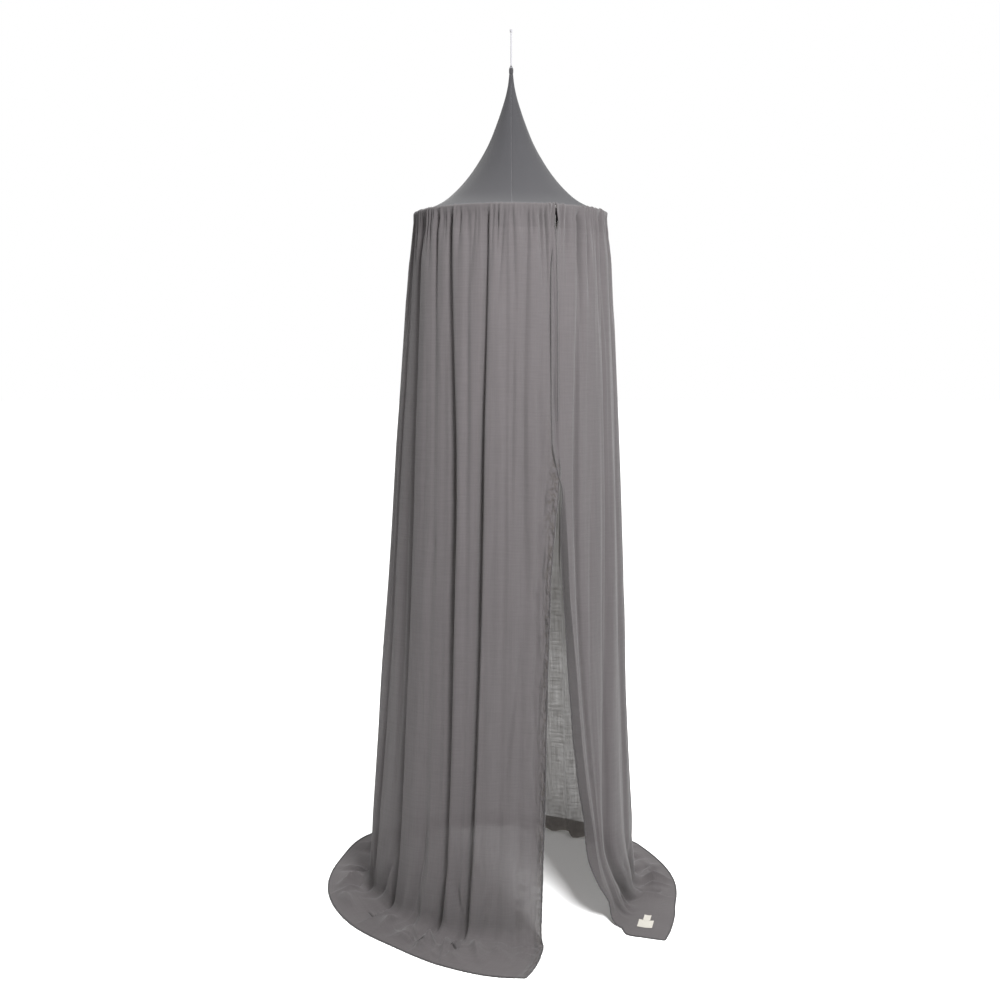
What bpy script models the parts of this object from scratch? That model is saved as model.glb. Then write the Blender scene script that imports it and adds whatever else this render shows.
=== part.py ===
"""Hanging bed canopy: a gathered muslin curtain falls from a hoop to the floor, under a stretched
cone-shaped crown that hangs by a short cord. The curtain is one wrapped sheet, open in front.

Metres, +Z up. The origin is the top of the cord's knot, where a ceiling hook holds the canopy, and
the floor lies HANG_HEIGHT below it. Heights in this file are above the floor: every piece is
parented to an empty on the floor.

Turns are degrees about the vertical, from the front (-Y) round by the left side (-X) to the back.
"""

import math
from collections import namedtuple

import bpy
import numpy as np

MM = 0.001

# Hoop, crown and cord
HANG_HEIGHT = 2.240
HOOP_HEIGHT = 1.784
HOOP_RADIUS = 0.2375
HOOP_TUBE = 0.004
CROWN_THICK = 0.0015
SEAM_GAP = 0.0005
SEAT_GAP = 0.0003
CORD_DIAMETER = 0.004
CORD_POINT_STEP = 0.010
KNOT_HEIGHT = 0.010

# Curtain
CLOTH_THICK = 0.002
WRAP_RADIUS = 0.0075        # from the tube's centre to the middle of the cloth at the seam
GATHER_BULGE = 0.0035       # how much further out the gathers stand beside the tube
WALL_BOW = 0.9              # below 1 the wall spreads faster near the hoop
SHOULDER_SHARE = 0.14       # how deep a fold still is at its half width
HALF_WIDTH_LIMIT = 0.42     # of the way to the next fold
MEAN_RADIUS_TOP = 0.25      # the wall's radius at the hoop, for turning widths into degrees
MEAN_RADIUS_SPREAD = 0.10   # and how much more it has at the floor
FLOOR_FADE = 1.4            # how quickly a fold flattens out over the floor
EDGE_DRIFT_REACH = 80.0     # degrees over which the skirt follows its swung front edges
BEND_LIFT = 0.6             # height of the bend's corner, as a share of the puff outside it

# Label, sewn flat near the right front corner
LABEL_THICK = 0.001
LABEL_TURN = math.radians(-15.0)
LABEL_CENTRE = (0.341, -0.224)
LABEL_SIZE = (0.038, 0.040)
LABEL_TAB_SIZE = (0.018, 0.028)

COLUMNS_PER_CROWN_HALF = 24
HOOP_SEGMENTS = 56
HOOP_SIDES = 8
TURNED_SEGMENTS = 16

CrownRing = namedtuple("CrownRing", "above_hoop radius")
CROWN_PROFILE = (
    CrownRing(0.3475, 0.0046),
    CrownRing(0.3230, 0.0075),
    CrownRing(0.2970, 0.0128),
    CrownRing(0.2550, 0.0256),
    CrownRing(0.2165, 0.0396),
    CrownRing(0.1775, 0.0560),
    CrownRing(0.1385, 0.0775),
    CrownRing(0.0990, 0.1042),
    CrownRing(0.0600, 0.1385),
    CrownRing(0.0330, 0.1705),
    CrownRing(0.0150, 0.2050),
    CrownRing(0.0072, 0.2275),
    CrownRing(HOOP_TUBE + SEAT_GAP + CROWN_THICK / 2, HOOP_RADIUS),
)

TurnedRing = namedtuple("TurnedRing", "height radius")
TIP_PROFILE = (
    TurnedRing(0.0000, 0.0046),
    TurnedRing(0.0060, 0.0050),
    TurnedRing(0.0110, 0.0054),
    TurnedRing(0.0160, 0.0038),
    TurnedRing(0.0190, 0.0022),
)
KNOT_PROFILE = (
    TurnedRing(0.0000, 0.0020),
    TurnedRing(0.0025, 0.0034),
    TurnedRing(0.0060, 0.0036),
    TurnedRing(KNOT_HEIGHT, 0.0020),
)

# The sheet's two front edges. Way runs 0 to 1 down the wall and 1 to 2 over the floor to the hem.
Edge = namedtuple("Edge", "way left right")
EDGES = (
    Edge(0.00, -24.6, 334.6),
    Edge(0.35, -21.0, 337.8),
    Edge(0.45, -19.8, 332.4),
    Edge(0.60, -17.8, 330.2),
    Edge(0.75, -16.4, 325.5),
    Edge(0.88, -14.8, 320.2),
    Edge(0.96, -13.8, 311.0),
    Edge(1.00, -13.0, 310.3),
    Edge(1.22, -11.0, 314.0),
    Edge(1.60, -7.6, 311.3),
    Edge(2.00, -3.8, 308.9),
)

# Where the curtain meets the floor and where its hem lies, in metres and millimetres. Bend is the
# size of its turn from wall to floor, and puff is how high the cloth stands just outside it.
Station = namedtuple("Station", "turn foot hem bend_mm puff_mm")
STATIONS = (
    Station(-13, 0.310, 0.489, 30, 0),
    Station(2, 0.320, 0.483, 36, 6),
    Station(20, 0.332, 0.461, 42, 12),
    Station(40, 0.338, 0.444, 46, 14),
    Station(62, 0.352, 0.464, 46, 13),
    Station(88, 0.386, 0.493, 46, 13),
    Station(110, 0.395, 0.512, 44, 12),
    Station(128, 0.406, 0.540, 42, 12),
    Station(150, 0.412, 0.528, 40, 10),
    Station(180, 0.395, 0.505, 40, 10),
    Station(203, 0.376, 0.490, 40, 10),
    Station(228, 0.364, 0.468, 42, 11),
    Station(250, 0.350, 0.452, 46, 11),
    Station(270, 0.341, 0.449, 50, 9),
    Station(283, 0.335, 0.446, 46, 0),
    Station(294, 0.335, 0.459, 40, 0),
    Station(311, 0.333, 0.492, 38, 0),
)

# One row for each main fold, which is a trough between two rounded crests. The turns are where it
# lies at the hoop, half-way down, low on the wall and at the floor. Depths and half widths are in
# millimetres, at the hoop, half-way down and at the floor.
Fold = namedtuple(
    "Fold", "hoop middle low floor deep_hoop deep_middle deep_floor half_hoop half_middle half_floor"
)
FOLDS = (
    Fold(-16.0, -13.2, -9.8, -8.2, 4, 6, 4, 8, 9, 12),
    Fold(-6.9, -5.2, -3.2, -1.5, 5, 9, 8, 8, 14, 18),
    Fold(3.0, 3.6, 6.0, 8.0, 5, 7, 6, 8, 13, 16),
    Fold(13.9, 15.3, 18.6, 20.0, 8, 17, 22, 8, 14, 20),
    Fold(24.5, 22.6, 24.0, 31.0, 6, 6, 8, 8, 9, 14),
    Fold(36.0, 30.2, 30.5, 43.5, 8, 17, 20, 8, 15, 20),
    Fold(47.5, 43.0, 42.0, 62.0, 6, 7, 14, 8, 12, 18),
    Fold(60.6, 57.3, 58.5, 86.0, 8, 23, 28, 9, 20, 28),
    Fold(74.0, 75.5, 80.0, 103.0, 7, 12, 16, 9, 16, 20),
    Fold(88.5, 92.5, 97.0, 117.0, 6, 16, 18, 9, 17, 22),
    Fold(103.5, 108.0, 112.0, 130.0, 7, 10, 12, 9, 15, 20),
    Fold(119.0, 123.0, 126.5, 142.0, 8, 18, 20, 9, 18, 22),
    Fold(134.5, 137.5, 140.0, 154.0, 6, 11, 14, 9, 14, 20),
    Fold(149.5, 151.5, 154.0, 165.5, 8, 16, 18, 9, 17, 22),
    Fold(165.0, 166.5, 168.5, 177.0, 7, 10, 12, 9, 15, 20),
    Fold(181.0, 182.0, 183.0, 189.0, 8, 18, 20, 9, 18, 24),
    Fold(196.0, 196.0, 196.5, 200.5, 6, 11, 12, 9, 15, 20),
    Fold(211.5, 210.5, 209.5, 211.5, 8, 17, 18, 9, 17, 22),
    Fold(226.0, 225.0, 223.0, 222.5, 7, 10, 12, 9, 15, 20),
    Fold(241.5, 239.5, 238.0, 234.0, 8, 18, 20, 9, 18, 24),
    Fold(256.5, 255.0, 253.5, 245.5, 6, 10, 12, 9, 15, 20),
    Fold(271.5, 271.0, 270.5, 257.5, 8, 15, 16, 9, 17, 22),
    Fold(286.0, 287.5, 291.0, 270.0, 6, 9, 12, 9, 15, 20),
    Fold(299.2, 302.5, 309.5, 284.0, 8, 14, 20, 9, 18, 24),
    Fold(319.3, 326.0, 317.0, 299.0, 8, 10, 4, 8, 9, 14),
)
FOLD_TURN_WAYS = (0.03, 0.45, 0.86, 1.00)
FOLD_SIZE_WAYS = (0.05, 0.45, 1.00)

# Rows of the curtain's mesh, from the seam over the hoop, down the wall, round the bend and out
WRAP_ANGLES = (90, 60, 30, 0)
WALL_DROPS = (0.020, 0.050, 0.110, 0.200, 0.320, 0.450, 0.600, 0.740, 0.850, 0.920)
BEND_SHARES = (0.0, 0.3, 0.65, 1.0)
SKIRT_SHARES = (0.22, 0.60, 1.0)

Finish = namedtuple("Finish", "colour roughness")
JERSEY = Finish((0.184, 0.184, 0.201), 0.85)
MUSLIN = Finish((0.205, 0.190, 0.188), 0.90)
CORD_YARN = Finish((0.190, 0.188, 0.200), 0.80)
HOOP_PLASTIC = Finish((0.320, 0.310, 0.305), 0.45)
LABEL_TAPE = Finish((0.720, 0.700, 0.610), 0.80)


def clear_scene():
    for obj in list(bpy.data.objects):
        bpy.data.objects.remove(obj, do_unlink=True)


def material(name, finish):
    made = bpy.data.materials.new(name)
    made.use_nodes = True
    shader = made.node_tree.nodes["Principled BSDF"]
    shader.inputs["Base Color"].default_value = (*finish.colour, 1.0)
    shader.inputs["Roughness"].default_value = finish.roughness
    shader.inputs["Metallic"].default_value = 0.0
    return made


def curve_through(at, places, values):
    """Value at one place of a smooth curve through the table, which never overshoots its rows."""
    places = np.asarray(places, float)
    values = np.asarray(values, float)
    at = min(max(at, places[0]), places[-1])
    steps = np.diff(places)
    slopes = np.diff(values) / steps
    tangents = np.empty_like(values)
    tangents[0] = slopes[0]
    tangents[-1] = slopes[-1]
    for i in range(1, len(values) - 1):
        before, after = slopes[i - 1], slopes[i]
        tangents[i] = 0.0 if before * after <= 0 else 2 * before * after / (before + after)
    i = min(int(np.searchsorted(places, at, side="right")) - 1, len(steps) - 1)
    u = (at - places[i]) / steps[i]
    start = values[i] * (1 + 2 * u) * (1 - u) ** 2 + tangents[i] * steps[i] * u * (1 - u) ** 2
    end = values[i + 1] * u * u * (3 - 2 * u) - tangents[i + 1] * steps[i] * u * u * (1 - u)
    return float(start + end)


def column_of(rows, name):
    return [getattr(row, name) for row in rows]


def at_turn(turn, radius, height):
    """Point at this turn about the vertical axis."""
    angle = math.radians(turn)
    return (-radius * math.sin(angle), -radius * math.cos(angle), height)


def grid_mesh(name, rows):
    """Open quad mesh over rows of points, each row as long as the next."""
    mesh = bpy.data.meshes.new(name)
    width = len(rows[0])
    corners = [
        (row * width + column, row * width + column + 1)
        for row in range(len(rows) - 1)
        for column in range(width - 1)
    ]
    faces = [(a, a + width, b + width, b) for a, b in corners]
    mesh.from_pydata([point for row in rows for point in row], [], faces)
    mesh.validate()
    return mesh


def cloth_object(name, rows, thickness, finish, parent):
    """A sheet over rows of points, given its thickness evenly to both sides."""
    mesh = grid_mesh(name, rows)
    sheet = bpy.data.objects.new(name, mesh)
    solid = sheet.modifiers.new("Thickness", "SOLIDIFY")
    solid.thickness = thickness
    solid.offset = 0.0
    solid.use_even_offset = False
    solid.use_quality_normals = True
    return finish_object(sheet, finish, parent)


def finish_object(obj, finish, parent):
    obj.data.materials.append(material(obj.name, finish))
    obj.parent = parent
    bpy.context.scene.collection.objects.link(obj)
    if obj.type == "MESH":
        obj.data.shade_smooth()
    return obj


def turned_object(name, profile, height, finish, parent):
    """A small solid turned about the vertical, closed by flat ends, with its foot at this height."""
    points = []
    faces = []
    for ring in profile:
        for i in range(TURNED_SEGMENTS):
            turn = 360.0 * i / TURNED_SEGMENTS
            points.append(at_turn(turn, ring.radius, ring.height))
    for ring in range(len(profile) - 1):
        for i in range(TURNED_SEGMENTS):
            after = (i + 1) % TURNED_SEGMENTS
            low, high = ring * TURNED_SEGMENTS, (ring + 1) * TURNED_SEGMENTS
            faces.append((low + i, high + i, high + after, low + after))
    faces.append(tuple(range(TURNED_SEGMENTS)))
    top = (len(profile) - 1) * TURNED_SEGMENTS
    faces.append(tuple(top + i for i in reversed(range(TURNED_SEGMENTS))))
    mesh = bpy.data.meshes.new(name)
    mesh.from_pydata(points, [], faces)
    mesh.validate()
    turned = bpy.data.objects.new(name, mesh)
    turned.location = (0.0, 0.0, height)
    return finish_object(turned, finish, parent)


def make_crown(parent):
    """Two half gores of the cone, seamed in front and behind, ending on top of the hoop."""
    for name, first_turn, side in (("crown_left", 0.0, -1), ("crown_right", 180.0, 1)):
        rows = []
        for ring in CROWN_PROFILE:
            row = []
            for i in range(COLUMNS_PER_CROWN_HALF + 1):
                turn = first_turn + 180.0 * i / COLUMNS_PER_CROWN_HALF
                x, y, z = at_turn(turn, ring.radius, HOOP_HEIGHT + ring.above_hoop)
                row.append((x + side * SEAM_GAP / 2, y, z))
            rows.append(row)
        cloth_object(name, rows, CROWN_THICK, JERSEY, parent)


def make_hoop(parent):
    """The plain ring inside the seam, which spreads the crown and the curtain."""
    points = []
    faces = []
    for i in range(HOOP_SEGMENTS):
        for j in range(HOOP_SIDES):
            across = math.radians(360.0 * (j + 0.5) / HOOP_SIDES)
            radius = HOOP_RADIUS + HOOP_TUBE * math.cos(across)
            points.append(at_turn(360.0 * i / HOOP_SEGMENTS, radius, HOOP_TUBE * math.sin(across)))
            after_i = (i + 1) % HOOP_SEGMENTS
            after_j = (j + 1) % HOOP_SIDES
            faces.append(
                (
                    i * HOOP_SIDES + j,
                    i * HOOP_SIDES + after_j,
                    after_i * HOOP_SIDES + after_j,
                    after_i * HOOP_SIDES + j,
                )
            )
    mesh = bpy.data.meshes.new("hoop")
    mesh.from_pydata(points, [], faces)
    mesh.validate()
    hoop = bpy.data.objects.new("hoop", mesh)
    hoop.location = (0.0, 0.0, HOOP_HEIGHT)
    return finish_object(hoop, HOOP_PLASTIC, parent)


def edge_turns(way):
    ways = column_of(EDGES, "way")
    left = curve_through(way, ways, column_of(EDGES, "left"))
    right = curve_through(way, ways, column_of(EDGES, "right"))
    return left, right


def fold_turn(fold, way):
    """Where a fold lies. On the floor it drifts with the nearer front edge."""
    turn = curve_through(way, FOLD_TURN_WAYS, (fold.hoop, fold.middle, fold.low, fold.floor))
    if way <= 1.0:
        return turn
    (left_foot, right_foot), (left, right) = edge_turns(1.0), edge_turns(way)
    near_left = max(0.0, 1.0 - (turn - left_foot) / EDGE_DRIFT_REACH)
    near_right = max(0.0, 1.0 - (right_foot - turn) / EDGE_DRIFT_REACH)
    return turn + near_left * (left - left_foot) + near_right * (right - right_foot)


def fold_depth(fold, way):
    depths = (fold.deep_hoop, fold.deep_middle, fold.deep_floor)
    left_on_floor = (2.0 - max(way, 1.0)) ** FLOOR_FADE
    return curve_through(way, FOLD_SIZE_WAYS, depths) * MM * left_on_floor


def fold_half_width(fold, way):
    """Half width in degrees at the radius that the curtain has there."""
    halves = (fold.half_hoop, fold.half_middle, fold.half_floor)
    radius = MEAN_RADIUS_TOP + MEAN_RADIUS_SPREAD * way
    return math.degrees(curve_through(way, FOLD_SIZE_WAYS, halves) * MM / radius)


def columns_at(way):
    """Turn and fold depth of each mesh column: edges, crests, shoulders and troughs."""
    left, right = edge_turns(way)
    centres = [fold_turn(fold, way) for fold in FOLDS]
    befores = [left] + centres[:-1]
    afters = centres[1:] + [right]
    columns = [(left, 0.0)]
    for fold, before, centre, after in zip(FOLDS, befores, centres, afters):
        half = fold_half_width(fold, way)
        half_before = min(half, HALF_WIDTH_LIMIT * (centre - before))
        half_after = min(half, HALF_WIDTH_LIMIT * (after - centre))
        depth = fold_depth(fold, way)
        columns.append(((before + centre) / 2, 0.0))
        columns.append((centre - half_before, SHOULDER_SHARE * depth))
        columns.append((centre, depth))
        columns.append((centre + half_after, SHOULDER_SHARE * depth))
    columns.append(((centres[-1] + right) / 2, 0.0))
    columns.append((right, 0.0))
    return columns


def station_value(turn, name):
    return curve_through(turn, column_of(STATIONS, "turn"), column_of(STATIONS, name))


def wall_radius(turn, drop):
    """Radius of the wall's crests, at a share of the way from the hoop to the floor."""
    top = HOOP_RADIUS + WRAP_RADIUS + GATHER_BULGE
    return top + (station_value(turn, "foot") - top) * drop**WALL_BOW


def wrap_row(angle):
    """Over the hoop: the folds start at nothing on the seam and stay clear of the tube."""
    around = math.radians(angle)
    row = []
    for turn, depth in columns_at(0.0):
        reach = WRAP_RADIUS + GATHER_BULGE * math.cos(around)
        reach -= min(depth, GATHER_BULGE) * math.cos(around)
        radius = HOOP_RADIUS + reach * math.cos(around)
        row.append(at_turn(turn, radius, HOOP_HEIGHT + reach * math.sin(around)))
    return row


def wall_row(drop):
    row = []
    for turn, depth in columns_at(drop):
        row.append(at_turn(turn, wall_radius(turn, drop) - depth, HOOP_HEIGHT * (1.0 - drop)))
    return row


def bend_corner(turn):
    """The three points in radius and height that the bend from wall to floor is drawn from."""
    bend = station_value(turn, "bend_mm") * MM
    puff = station_value(turn, "puff_mm") * MM
    foot = station_value(turn, "foot")
    start_drop = 1.0 - bend / HOOP_HEIGHT
    start = np.array((wall_radius(turn, start_drop), bend))
    return start, np.array((foot, BEND_LIFT * puff)), np.array((foot + bend, puff))


def bend_row(share):
    start_way = (WALL_DROPS[-1] + 1.0) / 2
    row = []
    for turn, depth in columns_at(start_way + (1.0 - start_way) * share):
        start, corner, end = bend_corner(turn)
        place = (1 - share) ** 2 * start + 2 * share * (1 - share) * corner + share**2 * end
        along = (1 - share) * (corner - start) + share * (end - corner)
        inward = np.array((along[1], -along[0])) / np.linalg.norm(along)
        radius, height = place + depth * inward
        row.append(at_turn(turn, radius, max(height, 0.0) + CLOTH_THICK / 2))
    return row


def skirt_row(share):
    row = []
    for turn, depth in columns_at(1.0 + share):
        end = bend_corner(turn)[2]
        radius = end[0] + (station_value(turn, "hem") - end[0]) * share
        height = end[1] * (1 - share) ** 2 * (1 + 2 * share) - depth
        row.append(at_turn(turn, radius, max(height, 0.0) + CLOTH_THICK / 2))
    return row


def make_curtain(parent):
    """The one sheet that is gathered round the hoop, hangs to the floor and spreads over it."""
    rows = [wrap_row(angle) for angle in WRAP_ANGLES]
    rows += [wall_row(drop) for drop in WALL_DROPS]
    rows += [bend_row(share) for share in BEND_SHARES]
    rows += [skirt_row(share) for share in SKIRT_SHARES]
    return cloth_object("curtain", rows, CLOTH_THICK, MUSLIN, parent)


def flat_patch(name, size, offset, parent):
    """A flat rectangle of label tape that lies on the curtain's skirt."""
    mesh = bpy.data.meshes.new(name)
    (width, length), (across, along) = size, offset
    corners = [(across + i * width / 2, along + j * length / 2) for j in (-1, 1) for i in (-1, 1)]
    bottom = CLOTH_THICK + SEAT_GAP
    points = [(x, y, z) for z in (bottom, bottom + LABEL_THICK) for x, y in corners]
    faces = [(0, 2, 3, 1), (4, 5, 7, 6), (0, 1, 5, 4), (1, 3, 7, 5), (3, 2, 6, 7), (2, 0, 4, 6)]
    mesh.from_pydata(points, [], faces)
    mesh.validate()
    patch = bpy.data.objects.new(name, mesh)
    patch.location = (*LABEL_CENTRE, 0.0)
    patch.rotation_euler = (0.0, 0.0, LABEL_TURN)
    return finish_object(patch, LABEL_TAPE, parent)


def make_label(parent):
    """A blank woven label and the narrower tab above it."""
    tab_offset = (LABEL_SIZE[1] + LABEL_TAB_SIZE[1]) / 2 + SEAT_GAP
    flat_patch("label", LABEL_SIZE, (0.0, 0.0), parent)
    flat_patch("label_tab", LABEL_TAB_SIZE, (0.0, tab_offset), parent)


def make_cord(parent):
    """The hanging cord, held straight between the crown's tip and its knot."""
    tip_height = HOOP_HEIGHT + CROWN_PROFILE[0].above_hoop + SEAT_GAP
    turned_object("tip_binding", TIP_PROFILE, tip_height, JERSEY, parent)
    start = tip_height + TIP_PROFILE[-1].height + SEAT_GAP
    end = HANG_HEIGHT - KNOT_HEIGHT - SEAT_GAP
    count = round((end - start) / CORD_POINT_STEP) + 1
    curve = bpy.data.curves.new("hanging_cord", "CURVE")
    curve.dimensions = "3D"
    curve.bevel_depth = CORD_DIAMETER / 2
    curve.bevel_resolution = 2
    curve.use_fill_caps = True
    spline = curve.splines.new("POLY")
    spline.points.add(count - 1)
    for i, point in enumerate(spline.points):
        point.co = (0.0, 0.0, start + (end - start) * i / (count - 1), 1.0)
    finish_object(bpy.data.objects.new("hanging_cord", curve), CORD_YARN, parent)
    turned_object("cord_knot", KNOT_PROFILE, HANG_HEIGHT - KNOT_HEIGHT, CORD_YARN, parent)


def main():
    clear_scene()
    floor = bpy.data.objects.new("floor_level", None)
    floor.location = (0.0, 0.0, -HANG_HEIGHT)
    bpy.context.scene.collection.objects.link(floor)
    make_crown(floor)
    make_hoop(floor)
    make_curtain(floor)
    make_label(floor)
    make_cord(floor)


main()
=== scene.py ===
"""Looks of a hanging bed canopy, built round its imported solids.

A gathered muslin curtain falls from a hoop to the floor, under a stretched jersey cone that hangs by
a short braided cord. Metres, +Z up. The origin is the top of the cord's knot, and heights named
"above the floor" are counted from FLOOR. Turns are degrees about the vertical, from the front (-Y)
round by the left side (-X) to the back. Way runs 0 to 1 down the curtain's wall, from the hoop to
the floor, and 1 to 2 out over the floor to the hem.
"""

import logging
import math
from dataclasses import dataclass
from enum import Enum
from functools import cached_property
from typing import NamedTuple, Optional, Sequence, Union

import bpy
import numpy as np
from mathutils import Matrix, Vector


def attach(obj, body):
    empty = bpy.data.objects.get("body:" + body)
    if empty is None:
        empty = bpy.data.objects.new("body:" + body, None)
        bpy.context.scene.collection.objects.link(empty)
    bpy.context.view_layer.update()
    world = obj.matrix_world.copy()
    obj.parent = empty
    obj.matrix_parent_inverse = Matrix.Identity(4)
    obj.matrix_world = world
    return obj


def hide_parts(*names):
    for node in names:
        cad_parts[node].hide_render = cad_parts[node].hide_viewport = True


MM = 0.001
FLOOR = -2.240
HOOP_HEIGHT = 1.784
HOOP_RADIUS = 0.2375
ROOT = "root"
FLAT = "flat_cut"

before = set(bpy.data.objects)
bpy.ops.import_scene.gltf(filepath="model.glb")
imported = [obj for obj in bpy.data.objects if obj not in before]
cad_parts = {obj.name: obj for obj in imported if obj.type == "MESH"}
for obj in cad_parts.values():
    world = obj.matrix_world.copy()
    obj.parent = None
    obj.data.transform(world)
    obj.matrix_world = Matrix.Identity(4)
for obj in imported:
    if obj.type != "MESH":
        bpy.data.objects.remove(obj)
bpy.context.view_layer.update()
report = logging.getLogger("canopy")

Number = Union[float, "Wire"]
Colour = tuple[float, float, float]


class Slot(Enum):
    """The record's material slots, passed along with the pieces."""

    CROWN = "crown_jersey"
    CURTAIN = "curtain_muslin"
    CORD = "cord_yarn"
    HOOP = "hoop_plastic"
    LABEL = "label_tape"


# ---------------------------------------------------------------------------------------------
# Materials


class Wire:
    """One number's socket in a material, to write sums with."""

    def __init__(self, graph: "Graph", socket: bpy.types.NodeSocket) -> None:
        """Wraps a socket of this graph."""
        self.graph = graph
        self.socket = socket

    def __add__(self, other: Number) -> "Wire":
        """This and the other, added."""
        return self.graph.sum("ADD", self, other)

    def __radd__(self, other: Number) -> "Wire":
        """The other and this, added."""
        return self.graph.sum("ADD", other, self)

    def __sub__(self, other: Number) -> "Wire":
        """This less the other."""
        return self.graph.sum("SUBTRACT", self, other)

    def __rsub__(self, other: Number) -> "Wire":
        """The other less this."""
        return self.graph.sum("SUBTRACT", other, self)

    def __mul__(self, other: Number) -> "Wire":
        """This times the other."""
        return self.graph.sum("MULTIPLY", self, other)

    def __rmul__(self, other: Number) -> "Wire":
        """The other times this."""
        return self.graph.sum("MULTIPLY", other, self)

    def clamped(self) -> "Wire":
        """This, kept between 0 and 1."""
        return self.graph.sum("MINIMUM", self.graph.sum("MAXIMUM", self, 0.0), 1.0)

    def wave(self, pitch: float) -> "Wire":
        """A wave of 0 to 1 that repeats whenever this grows by pitch.

        Args:
            pitch: The wave's length, in this number's unit.

        Returns:
            The wave's height.
        """
        return self.graph.sum("SINE", self * (math.tau / pitch)) * 0.5 + 0.5


class Graph:
    """The nodes of one material."""

    def __init__(self, name: str) -> None:
        """Starts an empty material of this name.

        Args:
            name: The material's name.
        """
        self.material = bpy.data.materials.new(name)
        self.material.use_nodes = True
        self.tree = self.material.node_tree
        self.tree.nodes.clear()

    def node(
        self,
        kind: str,
        settings: Optional[dict[str, object]] = None,
        sockets: Optional[dict[Union[str, int], object]] = None,
    ) -> bpy.types.Node:
        """Adds a node.

        Args:
            kind: The node's type.
            settings: Its own settings, set first; "stops" are a ramp's (place, colour) pairs.
            sockets: Values or links of its input sockets, by name or number.

        Returns:
            The new node.
        """
        made = self.tree.nodes.new(kind)
        for name, value in (settings or {}).items():
            if name == "stops":
                for stop, (place, colour) in zip(made.color_ramp.elements, value):
                    stop.position = place
                    stop.color = (*colour, 1.0)
            else:
                setattr(made, name, value)
        for name, value in (sockets or {}).items():
            if isinstance(value, Wire):
                self.tree.links.new(value.socket, made.inputs[name])
            elif isinstance(value, bpy.types.NodeSocket):
                self.tree.links.new(value, made.inputs[name])
            else:
                made.inputs[name].default_value = value
        return made

    def sum(self, operation: str, *values: Number) -> Wire:
        """The result of one Math node over these values.

        Args:
            operation: The Math node's operation.
            values: Its inputs, in order.

        Returns:
            Its result.
        """
        sockets = dict(enumerate(values))
        made = self.node("ShaderNodeMath", {"operation": operation}, sockets)
        return Wire(self, made.outputs[0])

    def flat(self, scale: Sequence[float] = (1.0, 1.0, 1.0)) -> bpy.types.NodeSocket:
        """The place on the cloth as it was cut, in metres, times scale.

        Args:
            scale: What the place is multiplied by.

        Returns:
            The socket that gives it.
        """
        place = self.node("ShaderNodeAttribute", {"attribute_name": FLAT})
        scaled = self.node(
            "ShaderNodeVectorMath",
            {"operation": "MULTIPLY"},
            {0: place.outputs["Vector"], 1: scale},
        )
        return scaled.outputs[0]

    def axes(self) -> tuple[Wire, Wire]:
        """The place across and along the cut, in metres, as two numbers."""
        parts = self.node("ShaderNodeSeparateXYZ", {}, {0: self.flat()})
        return Wire(self, parts.outputs[0]), Wire(self, parts.outputs[1])

    def noise(self, scale: Sequence[float], detail: float = 2.0) -> Wire:
        """Noise of 0 to 1 over the cut.

        Args:
            scale: How many blotches there are in a metre across, along and through.
            detail: How many finer layers it has.

        Returns:
            The noise.
        """
        sockets = {"Vector": self.flat(scale), "Scale": 1.0, "Detail": detail, "Roughness": 0.55}
        return Wire(self, self.node("ShaderNodeTexNoise", {}, sockets).outputs["Fac"])

    def blend(
        self, share: Wire, low: Union[Colour, bpy.types.NodeSocket], high: Colour
    ) -> bpy.types.NodeSocket:
        """A colour between low and high, by share.

        Args:
            share: 0 for low, 1 for high.
            low: The colour at 0, or a socket that gives it.
            high: The colour at 1.

        Returns:
            The socket that gives the colour.
        """
        start = low if isinstance(low, bpy.types.NodeSocket) else (*low, 1.0)
        settings = {"data_type": "RGBA", "clamp_factor": True}
        mix = self.node("ShaderNodeMix", settings, {0: share, 6: start, 7: (*high, 1.0)})
        return mix.outputs[2]

    def bump(
        self, height: Wire, depth: float, under: Optional[bpy.types.NodeSocket] = None
    ) -> bpy.types.NodeSocket:
        """The normal of a relief over another one.

        Args:
            height: The relief's height, 0 to 1.
            depth: How deep it is, in metres.
            under: The normal of the relief that it lies on.

        Returns:
            The normal.
        """
        sockets = {"Height": height, "Distance": depth}
        if under is not None:
            sockets["Normal"] = under
        return self.node("ShaderNodeBump", {}, sockets).outputs["Normal"]

    def finish(self, shader: bpy.types.Node) -> bpy.types.Material:
        """Joins the shader to the material's output."""
        self.node("ShaderNodeOutputMaterial", {}, {"Surface": shader.outputs[0]})
        return self.material


def tint(colour: Colour, by: float) -> Colour:
    """The colour times a number."""
    return (colour[0] * by, colour[1] * by, colour[2] * by)


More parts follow.
